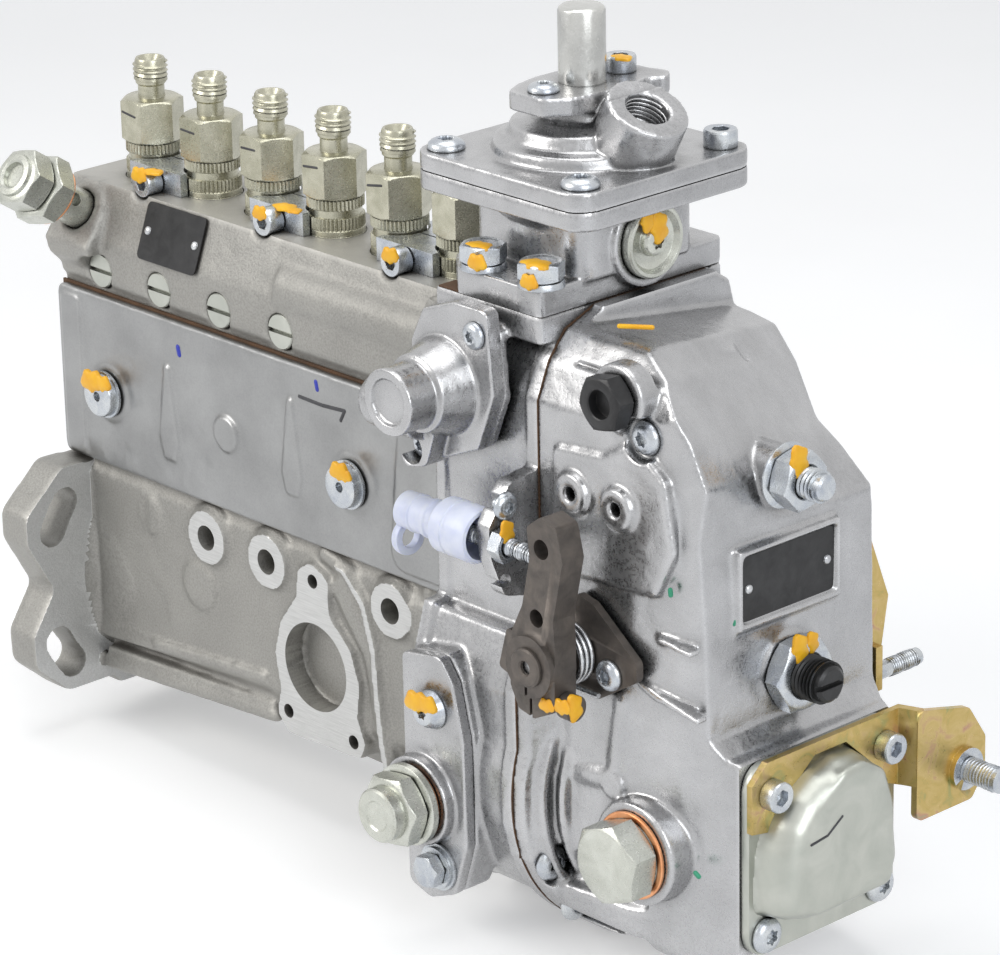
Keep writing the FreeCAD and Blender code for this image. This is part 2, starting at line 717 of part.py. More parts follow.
def control_rack():
    """Round rack with tooth gaps opposite each sleeve."""
    bar = rod("X", ("-1.5", "rack_y", "rack_z"), "rack_r", "gov_x + 14")
    gaps = []
    half = size("rack_gap") / 2
    low, high = size("rack_y - rack_r") - 1, size("rack_y - rack_r + tooth_deep")
    for k in range(6):
        for number in range(-5, 6):
            middle = size(element_x(k)) + number * size("tooth_pitch")
            corners = [(middle - 1.3 * half, low), (middle - 0.8 * half, high), (middle + 0.8 * half, high),
                       (middle + 1.3 * half, low)]
            if number < 3 or k == 5:
                gaps.append(pad("XY", corners, "12", ("0", "0", "rack_z - 6")))
    return node("control_rack", cut(bar, *gaps))


def coil(axis, at, mean, wire, turns, height):
    """A round wire wound about an axis, its middle line rising by the height."""
    path = DOC.addObject("Part::Helix", "path")
    bind(path, Pitch="(%s) / (%s)" % (height, turns), Height=height, Radius=mean)
    section = DOC.addObject("Part::Circle", "section")
    bind(section, Radius=wire)
    section.Placement = FreeCAD.Placement(V(size(mean), 0, 0), TURN["-Y"])
    item = DOC.addObject("Part::Sweep", "coil")
    item.Sections = [section]
    item.Spine = (path, [])
    item.Solid = True
    item.Frenet = True
    return place(item, at, axis)


def plunger_springs():
    """Six compression springs and the plates that hold them under the ledge."""
    items = []
    for k in range(6):
        rise = "ledge_z - tappet_top - 4.3 - 2 * spring_wire"
        at = (element_x(k), "0", "tappet_top + 2.1 + spring_wire")
        items.append(coil("Z", at, "spring_r", "spring_wire", "spring_turns", rise))
        ring = [("tube_r + 0.5", "0"), ("12.2", "0"), ("12.2", "2"), ("tube_r + 0.5", "2")]
        items.append(turned("Z", (element_x(k), "0", "ledge_z - 2"), ring))
    return node("plunger_springs", group(*items))


def barrels():
    items = []
    for k in range(6):
        steps = [("barrel_r", "shoulder_z - barrel_low"), ("shoulder_r", "barrel_top - barrel_low")]
        body = turned("Z", (element_x(k), "0", "barrel_low"), stack(steps, bore="plunger_r"))
        port = rod("-Y", (element_x(k), "20", "gallery_z"), "1.5", "40")
        items.append(cut(body, port))
    return node("barrels", group(*items))


def delivery_valves():
    items = []
    for k in range(6):
        profile = [("0", "0"), ("9.6", "0"), ("9.6", "5"), ("5.6", "5"), ("5.6", "7.9"), ("0", "7.9")]
        items.append(turned("Z", (element_x(k), "0", "barrel_top"), profile))
    return node("delivery_valves", group(*items))


def holder(x):
    """Threaded end, base ring, knurl bands, hexagon and the pipe's thread with its cone."""
    profile = [("6.2", "holder_low"), ("holder_thread_r", "holder_low"), ("holder_thread_r", "deck_z"),
               ("holder_r", "deck_z"), ("holder_r", "knurl_top"), ("holder_neck", "knurl_top"),
               ("holder_neck", "neck_top"), ("holder_r - 0.1", "neck_top"), ("holder_r - 0.1", "band_top"),
               ("8.9", "band_top"), ("8.9", "hex_top"), ("holder_slim", "hex_top"), ("holder_slim", "slim_top"),
               ("thread_r", "slim_top + 1"), ("thread_r", "holder_top - 0.8"), ("5.2", "holder_top"),
               ("3.9", "holder_top"), ("1.2", "holder_top - 5"), ("1.2", "holder_low + 22"),
               ("4", "holder_low + 18"), ("4", "holder_low + 3"), ("6.2", "holder_low + 3")]
    body = turned("Z", (x, "0", "0"), profile)
    nut = common(hexagon("Z", (x, "0", "band_top"), "hex_flats", "hex_top - band_top"),
                 turned("Z", (x, "0", "0"), [("0", "band_top"), ("9.4", "band_top"), ("11.2", "band_top + 1.6"),
                                             ("11.2", "hex_top - 1.6"), ("9.4", "hex_top"), ("0", "hex_top")]))
    bore = rod("Z", (x, "0", "band_top - 1"), "4", "18")
    return fuse(body, cut(nut, bore))


def delivery_valve_holders():
    return node("delivery_valve_holders", group(*[holder(element_x(k)) for k in range(6)]))


def clamp_jaws(k):
    """A front and a rear jaw between two holders."""
    middle = "clamp_x + 2 * pitch * %d" % k
    whole = block("%s - clamp_half_long" % middle, "%s + clamp_half_long" % middle, "-clamp_front", "clamp_front",
                  "deck_z", "deck_z + clamp_tall")
    circles = [rod("Z", (element_x(n), "0", "deck_z - 1"), "clamp_clear", "20") for n in (2 * k, 2 * k + 1)]
    split = block("%s - 30" % middle, "%s + 30" % middle, "-clamp_split", "clamp_split", "deck_z - 1",
                  "deck_z + clamp_tall + 1")
    hole = rod("Y", (middle, "-20", "clamp_z"), "3.05", "40")
    return cut(whole, split, hole, *circles)


def holder_clamps():
    return node("holder_clamps", group(*[clamp_jaws(k) for k in range(3)]))


def gallery_plugs():
    """Slotted plugs in the gallery's cross holes."""
    items = []
    for k in range(4):
        body = rod("-Y", (element_x(k), "-14", "gallery_z"), "plug_r", "plug_face - 14")
        slot = block("%s - 7" % element_x(k), "%s + 7" % element_x(k), "-plug_face - 1", "-plug_face + 1.6",
                     "gallery_z - 0.8", "gallery_z + 0.8")
        items.append(cut(body, slot))
    return node("gallery_plugs", group(*items))


def tilted(distance):
    """A point on the overflow valve's axis, counted outwards from the boss."""
    return ("overflow_x", "overflow_y - (%s) * cos(overflow_tilt)" % distance,
            "overflow_z + (%s) * sin(overflow_tilt)" % distance)


def overflow_valve():
    shank = rod("overflow", tilted("-8"), "6.9", "25")
    inner_hex = hexagon("overflow", tilted("14"), "22", "8.5")
    outer_hex = hexagon("overflow", tilted("22.5"), "19", "9.5")
    rim = rod("overflow", tilted("32"), "7.5", "1.5")
    dimple = rod("overflow", tilted("31"), "4.5", "4")
    eye = rod("X", ("overflow_x - 12", "overflow_y - 9 * cos(overflow_tilt)",
                    "overflow_z + 9 * sin(overflow_tilt)"), "2.4", "24")
    return node("overflow_valve", cut(fuse(shank, inner_hex, outer_hex, rim), dimple, eye))


# Side cover

def inspection_cover():
    """Pressed cover with its step, boss, tear-shaped ribs and bulge."""
    back = "-seat_half - gasket_thick"
    plate = pad("XZ", [("cover_x", "cover_low"), ("cover_end", "cover_low"), ("cover_end", "cover_top"),
                       ("cover_x", "cover_top")], "cover_face - seat_half - gasket_thick", ("0", back, "0"), "3")
    raised = [cone("-Y", (x, "1 - cover_face", "cover_bolt_z"), "11", "10", "1.8")
              for x in ("cover_bolt_a", "cover_bolt_b")]
    raised.append(cone("-Y", ("93", "1 - cover_face", "73"), "7", "6", "2.6"))
    for x, z0, z1 in (("62", "90", "56"), ("127", "94", "60")):
        tear = [("%s - 1" % x, z0), ("%s - 5" % x, "%s + 7" % z1), ("%s - 3" % x, z1), ("%s + 3" % x, z1),
                ("%s + 5" % x, "%s + 7" % z1), ("%s + 1" % x, z0)]
        raised.append(pad("XZ", tear, "2.2", ("0", "1 - cover_face", "0"), "0.8"))
    bulge = [("176", "48"), ("205", "48"), ("205", "103"), ("182", "103")]
    raised.append(pad("XZ", bulge, "2.2", ("0", "1 - cover_face", "0"), "6"))
    step = [("cover_x + 3", "cover_low + 2"), ("14", "cover_low + 2"), ("14", "cover_top - 3"),
            ("cover_x + 3", "cover_top - 3")]
    raised.append(pad("XZ", step, "1.9", ("0", "1 - cover_face", "0"), "2"))
    holes = [rod("-Y", (x, "-20", "cover_bolt_z"), "3.3", "20") for x in ("cover_bolt_a", "cover_bolt_b")]
    return node("inspection_cover", cut(fuse(plate, *raised), *holes))


def gaskets():
    """Side cover, both governor joints, the compensator's base and the closing cover."""
    side = block("cover_x + 0.6", "cover_end - 0.6", "-seat_half - gasket_thick", "-seat_half", "cover_low + 0.6",
                 "cover_top + 0.8")
    window = block("room_x", "room_end - 3", "-40", "0", "chamber_low", "rack_room_top - 1")
    posts = [block("%s - 5" % x, "%s + 5" % x, "-40", "0", "chamber_low", "ledge_z")
             for x in ("cover_bolt_a", "cover_bolt_b")]
    holes = [rod("-Y", (x, "-20", "cover_bolt_z"), "3.3", "20") for x in ("cover_bolt_a", "cover_bolt_b")]
    side = cut(side, cut(window, *posts), *holes)
    front = cut(pump_end_outline("pump_end", "gov_x - pump_end"), rod("X", ("pump_end - 1", "0", "0"), "24", "3"),
                rod("X", ("pump_end - 1", "rack_y", "rack_z"), "6", "3"))
    rear = cut(drum_section("gov_end", "cap_x - gov_end", "0"), drum_section("gov_end - 1", "3", "gov_wall"))
    base = cut(block("comp_x - 24", "comp_x + 22", "-40", "37", "gov_top", "comp_base"),
               rod("Z", ("comp_x", "0", "gov_top - 1"), "14", "3"))
    return node("gaskets", group(side, front, rear, base))


def pump_end_outline(x, depth):
    half = [("-27", "140"), ("-30", "100"), ("-30", "40"), ("-26", "-18"), ("-18", "-30")]
    return pad("YZ", half + [("-(%s)" % y, z) for y, z in reversed(half)], depth, (x, "0", "0"))


# Governor

def drum_section(x, depth, inset):
    """The governor's section: a drum about the camshaft with an upright block on top."""
    inset = "(%s)" % inset
    drum = rod("X", (x, "0", "0"), "drum_r - %s" % inset, depth)
    upright = [("inset - gov_front", "-10"), ("inset - gov_front", "130"), ("inset - gov_front + 5", "142"),
               ("inset - 31", "150.5 - inset"), ("inset - 18", "gov_top - inset"), ("30", "gov_top - inset"),
               ("gov_back - inset - 2", "152 - inset"), ("gov_back - inset", "145"), ("gov_back - inset", "-10")]
    upright = [(u.replace("inset", inset), v.replace("inset", inset)) for u, v in upright]
    shoulder = [("inset - 54", "-20"), ("inset - 54.5", "36 - inset"), ("inset - 49", "54 - inset"),
                ("-30", "55 - inset"), ("30", "55 - inset"), ("46 - inset", "50 - inset"), ("52 - inset", "30"),
                ("52 - inset", "-20")]
    shoulder = [(u.replace("inset", inset), v.replace("inset", inset)) for u, v in shoulder]
    return fuse(drum, pad("YZ", upright, depth, (x, "0", "0")), pad("YZ", shoulder, depth, (x, "0", "0")))


def governor_housing():
    """Middle casting: drum, upright, joint flanges, stop ear, timing port boss."""
    body = drum_section("gov_x", "gov_end - gov_x", "2.5")
    rear_rim = drum_section("gov_end - 6", "6", "0")
    front_rim = drum_section("gov_x", "5", "1")
    ear = pad("YZ", outline("ear"), "6.2", ("gov_end - 6.2", "0", "0"), "3")
    stop_boss = pad("XZ", [("214", "100"), ("222", "103"), ("243", "111"), ("250", "128"), ("248", "150"),
                           ("216", "150")], "3.4", ("0", "1 - gov_front", "0"), "2")
    timing = pad("XZ", outline("timing"), "12", ("0", "-44", "0"), "3")
    hollow = drum_section("gov_x + 6", "gov_end - gov_x", "2.5 + gov_wall")
    top = block("218", "258", "-32", "30", "130", "gov_top + 1")
    holes = [rod("X", ("gov_x - 1", "0", "0"), "24", "8"), rod("X", ("gov_x - 1", "rack_y", "rack_z"), "6", "8"),
             rod("-Y", ("224.6", "-30", "-8.9"), "9.2", "30"),
             rod("X", ("gov_end - 12", "-ear_y", "stop_z"), "stop_r", "20"),
             rod("X", ("gov_end - 12", "-57.6", "75.2"), "2.3", "20"),
             rod("X", ("gov_end - 12", "-57.4", "99.8"), "2.6", "20"),
             rod("Z", ("comp_x", "0", "140"), "13", "20")]
    shell = cut(fuse(body, rear_rim, front_rim, ear, stop_boss, timing), hollow, *(holes + timing_bolt_holes()))
    roof = block("gov_x + 2", "gov_end - 2", "-35", "33", "gov_top - 5", "gov_top")
    roof = cut(roof, rod("Z", ("comp_x", "0", "140"), "13", "20"), top)
    foot = cut(block("comp_x - 25", "comp_x + 22.5", "-41", "gov_back", "gov_top - 9", "gov_top"),
               rod("Z", ("comp_x", "0", "140"), "13", "20"))
    return node("governor_housing", fuse(shell, foot))


# Screws through the rim of the rear casting: y, z, head radius, shank radius
RIM_SCREWS = [("-46", "-22", "6", "3"), ("-36", "-40", "5.5", "3"), ("20", "-50", "5.5", "3"),
              ("46", "-20", "5.5", "3"), ("46", "32", "5.5", "3")]


def lofted(points_a, y_a, points_b, y_b):
    """A ruled solid between two side profiles with the same number of points."""
    wires = []
    for points, y in ((points_a, y_a), (points_b, y_b)):
        corners = [V(size(u), size(y), size(v)) for u, v in points]
        wires.append(Part.makePolygon(corners + [corners[0]]))
    item = DOC.addObject("Part::Feature", "loft")
    item.Shape = Part.makeLoft(wires, True, True)
    return item


def governor_cover():
    """Rear casting: a shape that narrows to the rear and falls to the far side."""
    sides = lofted(outline("side_a"), "-gov_front - 16", outline("side_b"), "gov_back + 20")
    plan = pad("XY", outline("plan"), "240", ("0", "0", "-70"))
    section = drum_section("cap_x", "cap_end - cap_x", "0")
    shell = common(sides, plan, section)
    rim = drum_section("cap_x", "5", "0")
    lower_room = block("cap_x - 1", "322", "-37", "31", "-33", "100")
    upper_room = block("cap_x - 1", "298", "-37", "14", "95", "144")
    drum_room = cone("X", ("cap_x - 1", "0", "0"), "50", "34", "30")
    rooms = [common(lower_room, pad("XY", [("250", "-52"), ("282", "-52"), ("284", "-39"), ("310", "-37"),
                                           ("324", "-31"), ("324", "31"), ("250", "36")], "200",
                                    ("0", "0", "-60"))), upper_room, drum_room]
    bosses = []
    for x in ("280", "299.6"):
        bosses.append(cone("-Y", (x, "-40", "105.5"), "8", "6.5", "7.5"))
    bosses.append(rod("-Y", ("299.5", "-38", "140.5"), "11", "8"))
    bosses.append(rod("-Y", ("308", "-30", "-5"), "17", "19"))
    bosses.append(cone("-Y", ("295", "-40", "13"), "6.5", "4.5", "6"))
    for corners in ((("313", "67.5"), ("328", "66"), ("328", "64"), ("313", "65")),
                    (("300", "52"), ("312", "49"), ("331", "45"), ("331", "43"), ("311", "46"))):
        bosses.append(pad("XZ", list(corners), "4.5", ("0", "-39", "0")))
    panel = pad("XZ", [("270", "118"), ("292", "120"), ("305", "128"), ("318", "118"), ("322", "96"),
                       ("314", "80"), ("270", "78")], "3.2", ("0", "-41.5", "0"), "3")
    bosses.append(panel)
    frame = cut(block("326", "330", "-24.4", "20.8", "67", "93"), block("320", "340", "-22.4", "18.8", "69", "91"))
    hub = rod("-Y", ("lever_x", "-20", "lever_z"), "14", "24.5")
    stops = [rod("X", ("316", "-2", "112"), "9", "11.5"), rod("X", ("316", "-1.5", "48.7"), "12", "13.5")]
    drills = [rod("-Y", (x, "-38", "105.5"), "2.25", "20") for x in ("280", "299.6")]
    drills.append(rod("-Y", ("lever_x", "0", "lever_z"), "shaft_r + 2.05", "60"))
    drills.append(rod("Y", ("280", "-38.8", "88"), "3.05", "71.6"))
    drills.append(rod("X", ("300", "-2", "112"), "5.05", "40"))
    drills.append(rod("X", ("300", "-1.5", "48.7"), "7.05", "50"))
    drills.append(rod("X", ("300", "0", "0"), "22", "50"))
    drills.append(rod("-Y", ("308", "-20", "-5"), "9.2", "40"))
    drills.append(rod("-Y", ("299.5", "-36", "140.5"), "6.05", "20"))
    drills.append(rod("-Y", ("307.5", "-40.5", "129"), "7", "12"))
    drills.append(rod("-Y", ("307.5", "-30", "129"), "2.55", "12"))
    drills.append(block("267.6", "313", "-62", "-44.6", "39", "76"))
    drills += [rod("X", ("cap_end - 9", y, z), "3.05", "12") for y, z in closing_screws()]
    for y, z, head, shank in RIM_SCREWS:
        drills.append(rod("X", ("cap_x - 1", y, z), "%s + 0.05" % shank, "10"))
        drills.append(rod("X", ("cap_x + 4.9", y, z), "%s + 1" % head, "40"))
    body = cut(fuse(shell, rim), *rooms)
    return node("governor_cover", cut(fuse(body, hub, frame, *(bosses + stops)), *drills))


def dome_screw(axis, at, r="6.2", shank="3", long="12"):
    """A dome-headed screw; at is under the head and the axis points out of it."""
    head = cut(rod(axis, at, r, "3.4"), rod(axis, moved(at, axis, "1.4"), "2.3", "4"))
    stem = rod(axis, moved(at, axis, "-(%s)" % long), shank, long)
    return fuse(head, stem)


def moved(at, axis, distance):
    """The point moved along a signed axis."""
    sign = "-" if axis[0] == "-" else "+"
    index = "XYZ".index(axis[-1])
    return tuple("(%s) %s (%s)" % (text, sign, distance) if k == index else text for k, text in enumerate(at))


def socket_screw(axis, at, r, tall, shank, long):
    head = cut(rod(axis, at, r, tall), hexagon(axis, moved(at, axis, "(%s) / 2" % tall), "(%s) * 0.9" % r, tall))
    return fuse(head, rod(axis, moved(at, axis, "-(%s)" % long), shank, long))


STOP_SCREWS = (("243", "148.5"), ("218.8", "107.3"))


def torx_screws():
    items = [dome_screw("-Y", (x, "-gov_front - 7.65", z), "4.4", "2", "4.5") for x, z in STOP_SCREWS]
    for k in range(3):
        items.append(socket_screw("-Y", ("clamp_x + 2 * pitch * %d" % k, "-clamp_front - 0.4", "clamp_z"),
                                  "clamp_head_r", "clamp_head_y - clamp_front - 0.4", "3", "26"))
    items.append(dome_screw("-Y", ("307.5", "-40.5", "129"), "5.4", "2.5", "4"))
    items.append(dome_screw("X", ("gov_end", "-57.4", "99.8"), "4.6", "2.5", "10"))
    for y, z, head, shank in RIM_SCREWS:
        items.append(dome_screw("X", ("cap_x + 5", y, z), head, shank, "4.9"))
    for dx, dy in ((-30, -30), (30, -30), (-30, 30), (30, 30)):
        at = ("comp_x + %d" % dx, "%d" % dy, "plate_top")
        if dx > 0 and dy > 0:
            items.append(socket_screw("Z", at, "5.4", "5.6", "3", "14"))
        else:
            items.append(dome_screw("Z", at, "6", "3", "14"))
    items.append(dome_screw("Z", ("comp_x", "-16.4", "oval_top"), "5", "2.5", "9"))
    items.append(socket_screw("Z", ("comp_x", "16.4", "oval_top"), "5", "5", "2.5", "9"))
    for y in ("-25.5", "25.5"):
        items.append(dome_screw("X", ("closing_x + closing_thick", y, "-28.8"), "5.8", "3", "8"))
        items.append(socket_screw("X", ("closing_x + closing_thick + 2.2", y, "19.4"), "5", "5.4", "3", "10"))
    items.append(dome_screw("-Y", ("297.5", "-47.5", "51.3"), "5", "2.4", "2.7"))
    return node("torx_screws", group(*items))


def timing_port_plate():
    plate = pad("XZ", outline("timing"), "4", ("0", "-56.1", "0"), "3")
    ring = rod("-Y", ("224.6", "-58", "-8.9"), "15", "6.5")
    hole = rod("-Y", ("224.6", "-50", "-8.9"), "9.2", "20")
    return node("timing_port_plate", cut(fuse(plate, ring), hole, *timing_bolt_holes()))


def timing_bolt_holes():
    return [rod("-Y", (x, "-40", z), "3.05", "30") for x, z in (("231", "-31"), ("229.6", "23.2"))]


def bolts():
    """Cover, timing port and compensator base bolts with their washers."""
    items = []
    for x in ("cover_bolt_a", "cover_bolt_b"):
        washer = rod("-Y", (x, "-30.2", "cover_bolt_z"), "8.4", "1.1")
        items.append(fuse(washer, socket_screw("-Y", (x, "-31.3", "cover_bolt_z"), "cover_bolt_r", "3", "3", "14")))
    hex_head = fuse(rod("-Y", ("231", "-60.1", "-31"), "8", "2.4"), hexagon("-Y", ("231", "-62.5", "-31"), "10", "4.6"),
                    rod("-Y", ("231", "-50", "-31"), "3", "11"))
    cone_head = fuse(cone("-Y", ("229.6", "-60.1", "23.2"), "6.5", "4", "5"), rod("-Y", ("229.6", "-50", "23.2"), "3", "11"))
    items += [hex_head, cone_head]
    for x in ("231.5", "257.5"):
        washer = rod("Z", (x, "-36", "comp_flange_top"), "7.5", "2")
        head = hexagon("Z", (x, "-36", "comp_flange_top + 2"), "13", "6")
        items.append(fuse(washer, head, rod("Z", (x, "-36", "comp_flange_top - 8"), "3.5", "9")))
    return node("bolts", group(*items))


def hex_plugs():
    """The timing port's plug, the rear one and the dished plug of the compensator."""
    timing = fuse(rod("-Y", ("224.6", "-58", "-8.9"), "9", "9"), rod("-Y", ("224.6", "-66", "-8.9"), "13.5", "3"),
                  hexagon("-Y", ("224.6", "-68.5", "-8.9"), "22", "7.5"), rod("-Y", ("224.6", "-75", "-8.9"), "9", "6"))
    rear = fuse(rod("-Y", ("308", "-42", "-5"), "9", "9"), rod("-Y", ("308", "-50.5", "-5"), "13.5", "2.4"),
                hexagon("-Y", ("308", "-52.6", "-5"), "24", "8"), rod("-Y", ("308", "-60", "-5"), "9.5", "1.6"))
    rear = cut(rear, hexagon("-Y", ("308", "-56", "-5"), "12", "8"))
    side = cut(rod("X", ("comp_x + 25", "1.5", "172.4"), "11.95", "5.5"),
               cone("X", ("comp_x + 29", "1.5", "172.4"), "8", "11", "3"))
    side = fuse(side, rod("X", ("comp_x + 28", "1.5", "172.4"), "4.6", "3.4"))
    return node("hex_plugs", group(timing, rear, side))


def copper_rings():
    overflow = cut(rod("overflow", tilted("13"), "10.6", "1"), rod("overflow", tilted("12"), "6.95", "3"))
    timing = cut(rod("-Y", ("224.6", "-64.6", "-8.9"), "11.5", "1.4"), rod("-Y", ("224.6", "-60", "-8.9"), "9.05", "8"))
    rear = cut(rod("-Y", ("308", "-49.1", "-5"), "13", "1.4"), rod("-Y", ("308", "-45", "-5"), "9.05", "8"))
    return node("copper_rings", group(overflow, timing, rear))


def breather_plug():
    body = fuse(rod("-Y", ("299.5", "-38", "140.5"), "6", "9"), hexagon("-Y", ("299.5", "-46.2", "140.5"), "16", "7"))
    return node("breather_plug", cut(body, rod("-Y", ("299.5", "-51", "140.5"), "4.5", "5")))


def stop_cylinder():
    """Shut-off housing: flange on the governor's wall, barrel to the front, stub to the left."""
    flange = pad("XZ", outline("stop_flange"), "5.2", ("0", "-gov_front - 2.4", "0"), "2.5")
    barrel = cone("-Y", ("228", "-gov_front - 3.6", "129"), "17", "12.5", "16")
    nose = rod("-Y", ("228", "-62", "129"), "10.85", "12")
    face = cut(nose, rod("-Y", ("228", "-72.5", "129"), "7.5", "4"))
    stub = rod("-X", ("226", "-57", "121"), "9", "20")
    tip = cone("-X", ("206", "-57", "121"), "9", "7.5", "3")
    lug = pad("XZ", [("214", "100"), ("226", "103"), ("232", "120"), ("216", "120")], "9",
              ("0", "-gov_front - 5", "0"), "3")
    holes = [rod("-Y", (x, "-gov_front - 2", z), "2.05", "9") for x, z in STOP_SCREWS]
    recess = rod("-Y", ("218.8", "-gov_front - 7.6", "107.3"), "5", "12")
    return node("stop_cylinder", cut(fuse(flange, barrel, face, stub, tip, lug), recess, *holes))


def stop_screws():
    """Idle stop in the ear, the rear stud and the slotted stop below it."""
    idle = rod("X", ("238.5", "-ear_y", "stop_z"), "stop_r - 0.02", "41.3")
    upper = rod("X", ("306", "-2", "112"), "5", "39")
    lower = cut(rod("X", ("304", "-1.5", "48.7"), "7", "43"), block("344.5", "350", "-10", "10", "47.8", "49.6"))
    return node("stop_screws", group(idle, upper, lower))


def lock_nuts():
    items = [cut(hexagon("X", ("gov_end", "-ear_y", "stop_z"), "10", "5"),
                 rod("X", ("gov_end - 1", "-ear_y", "stop_z"), "stop_r", "10"))]
    items.append(cut(fuse(rod("X", ("327.6", "-2", "112"), "10.5", "1.6"), hexagon("X", ("329", "-2", "112"), "17", "7.5")),
                     rod("X", ("320", "-2", "112"), "5.02", "20")))
    items.append(cut(hexagon("X", ("329.6", "-1.5", "48.7"), "22", "7"), rod("X", ("320", "-1.5", "48.7"), "7.02", "30")))
    return node("lock_nuts", group(*items))


def stop_cap():
    """Soft sealing cap over the stop screw's far end, with a finger loop."""
    narrow = rod("-X", ("238", "-ear_y", "stop_z"), "6", "19")
    wide = rod("X", ("238", "-ear_y", "stop_z"), "9", "17")
    loop = cut(rod("-X", ("221", "-ear_y", "stop_z - 8.5"), "6", "2.6"), rod("-X", ("222", "-ear_y", "stop_z - 9"), "3", "6"))
    hollow = [rod("X", ("222", "-ear_y", "stop_z"), "3.3", "40"), rod("X", ("241", "-ear_y", "stop_z"), "7.2", "20")]
    return node("stop_cap", cut(fuse(narrow, wide, loop), *hollow))


def bush_flange():
    flange = pad("XZ", outline("bush"), "2.8", ("0", "-44.7", "0"), "3")
    tube = rod("-Y", ("lever_x", "-21", "lever_z"), "shaft_r + 2", "32")
    collar = rod("-Y", ("lever_x", "-47", "lever_z"), "8", "6")
    screw = rod("-Y", ("297.5", "-40", "51.3"), "2.45", "10")
    bore = rod("-Y", ("lever_x", "0", "lever_z"), "shaft_r + 0.04", "60")
    return node("bush_flange", cut(fuse(flange, tube, collar), bore, screw))


def control_lever():
    """Forged lever: hub with its clamp slit, tapered arm with two threaded holes, rear tab."""
    arm = pad("XZ", outline("lever"), "lever_arm_face - lever_back", ("0", "-lever_back", "0"), "2")
    hub = rod("-Y", ("lever_x", "-lever_back", "lever_z"), "lever_hub_r", "lever_hub_face - lever_back")
    tab = pad("XZ", [("262", "48"), ("275", "44"), ("275", "60"), ("266", "62")], "5", ("0", "-lever_back", "0"), "1.5")
    bore = rod("-Y", ("lever_x", "-40", "lever_z"), "shaft_r", "40")
    slit = block("lever_x - 1.6", "lever_x - 0.4", "-70", "-50", "30", "lever_z")
    holes = [rod("-Y", ("286.2", "-50", "94.1"), "3.2", "20"), rod("-Y", ("283.6", "-50", "71"), "2.9", "20"),
             rod("X", ("260", "-60.5", "43.5"), "2.6", "40")]
    clamp = socket_screw("X", ("291.3", "-60.5", "43.5"), "4.2", "4.6", "2.5", "17")
    body = cut(fuse(arm, hub, tab), bore, slit, *holes)
    return node("control_lever", group(body, clamp))


def lever_shaft():
    """Shaft through the bush, the inner crank and the return coil round the collar."""
    shaft = rod("-Y", ("lever_x", "-12", "lever_z"), "shaft_r - 0.01", "54.6")
    crank = pad("XZ", [("275", "49"), ("288", "49"), ("285", "76"), ("278", "76")], "7", ("0", "-12", "0"), "2")
    pin = rod("-Y", ("lever_x", "-18", "72"), "2.5", "7")
    turns = []
    for k in range(3):
        ring = DOC.addObject("Part::Torus", "turn")
        bind(ring, Radius1="9.3", Radius2="0.85")
        turns.append(place(ring, ("lever_x", "-48.8 - 2.1 * %d" % k, "lever_z"), "-Y"))
    leg = rod("X", ("lever_x + 0.5", "-49.2", "lever_z - 11.3"), "0.9", "12")
    return node("lever_shaft", group(fuse(shaft, crank, pin), leg, *turns))


def closing_cover():
    """Rear cover with the arched dome over the governor's spring nut."""
    plate = pad("YZ", [("-closing_half", "closing_low"), ("closing_half", "closing_low"),
                       ("closing_half", "closing_top"), ("-closing_half", "closing_top")],
                "closing_thick", ("closing_x", "0", "0"), "8")
    dome = pad("YZ", outline("dome"), "dome_deep", ("closing_x + 1", "0", "0"), "3")
    room = pad("YZ", [("-14", "-19"), ("-14", "-3"), ("-8", "15"), ("9", "17"), ("15", "4"), ("15", "-19")],
               "dome_deep - 2", ("closing_x - 0.5", "0", "0"), "2")
    return node("closing_cover", cut(fuse(plate, dome), room, *closing_holes()))


def closing_screws():
    return [(y, z) for y in ("-25.5", "25.5") for z in ("-28.8", "19.4")]


def closing_holes():
    return [rod("X", ("closing_x - 1", y, z), "3.05", "10") for y, z in closing_screws()]


def linkage_brackets():
    """Plate bracket round the dome with its tab and stud, and the strap beside it."""
    plate = pad("YZ", outline("bracket"), "2.2", ("closing_x + closing_thick", "0", "0"))
    reach = pad("YZ", [("22", "30"), ("34", "30"), ("34", "3"), ("22", "8")], "2.2", ("closing_x + closing_thick", "0", "0"))
    wall = pad("XY", [("closing_x + closing_thick", "31"), ("closing_x + closing_thick + 8", "34"),
                      ("closing_x + closing_thick + 8", "37"), ("closing_x + closing_thick", "34")], "26",
               ("0", "0", "4"))
    tab = pad("YZ", [("34", "-8"), ("60", "-8"), ("66", "0"), ("66", "12"), ("58", "24"), ("34", "30")], "2.4",
              ("closing_x + closing_thick + 6", "0", "0"), "3")
    stud = rod("X", ("closing_x + closing_thick + 8", "56", "4"), "4", "16")
    collar = rod("X", ("closing_x + closing_thick + 8", "56", "4"), "7", "2.4")
    strap = pad("YZ", outline("strap"), "3", ("317", "0", "0"), "1")
    side_stud = rod("Y", ("324", "40", "32.5"), "2.75", "22.5")
    foot = block("317", "327.5", "39.4", "42.4", "28", "43")
    rear = cut(fuse(plate, reach, wall, tab, stud, collar), *closing_holes())
    return node("linkage_brackets", group(rear, fuse(strap, side_stud, foot)))


# Inside the governor

def flyweight_carrier():
    hub = rod("X", ("216", "0", "0"), "14", "21")
    disc = rod("X", ("220", "0", "0"), "22", "3.6")
    ears = [block("223", "233", "-21", "-16", "-9", "9"), block("223", "233", "16", "21", "-9", "9")]
    pins = [rod("Z", ("229", y, "-14"), "2.5", "28") for y in ("-18.5", "18.5")]
    return node("flyweight_carrier", cut(fuse(hub, disc, *(ears + pins)), rod("X", ("210", "0", "0"), "journal_r", "40")))


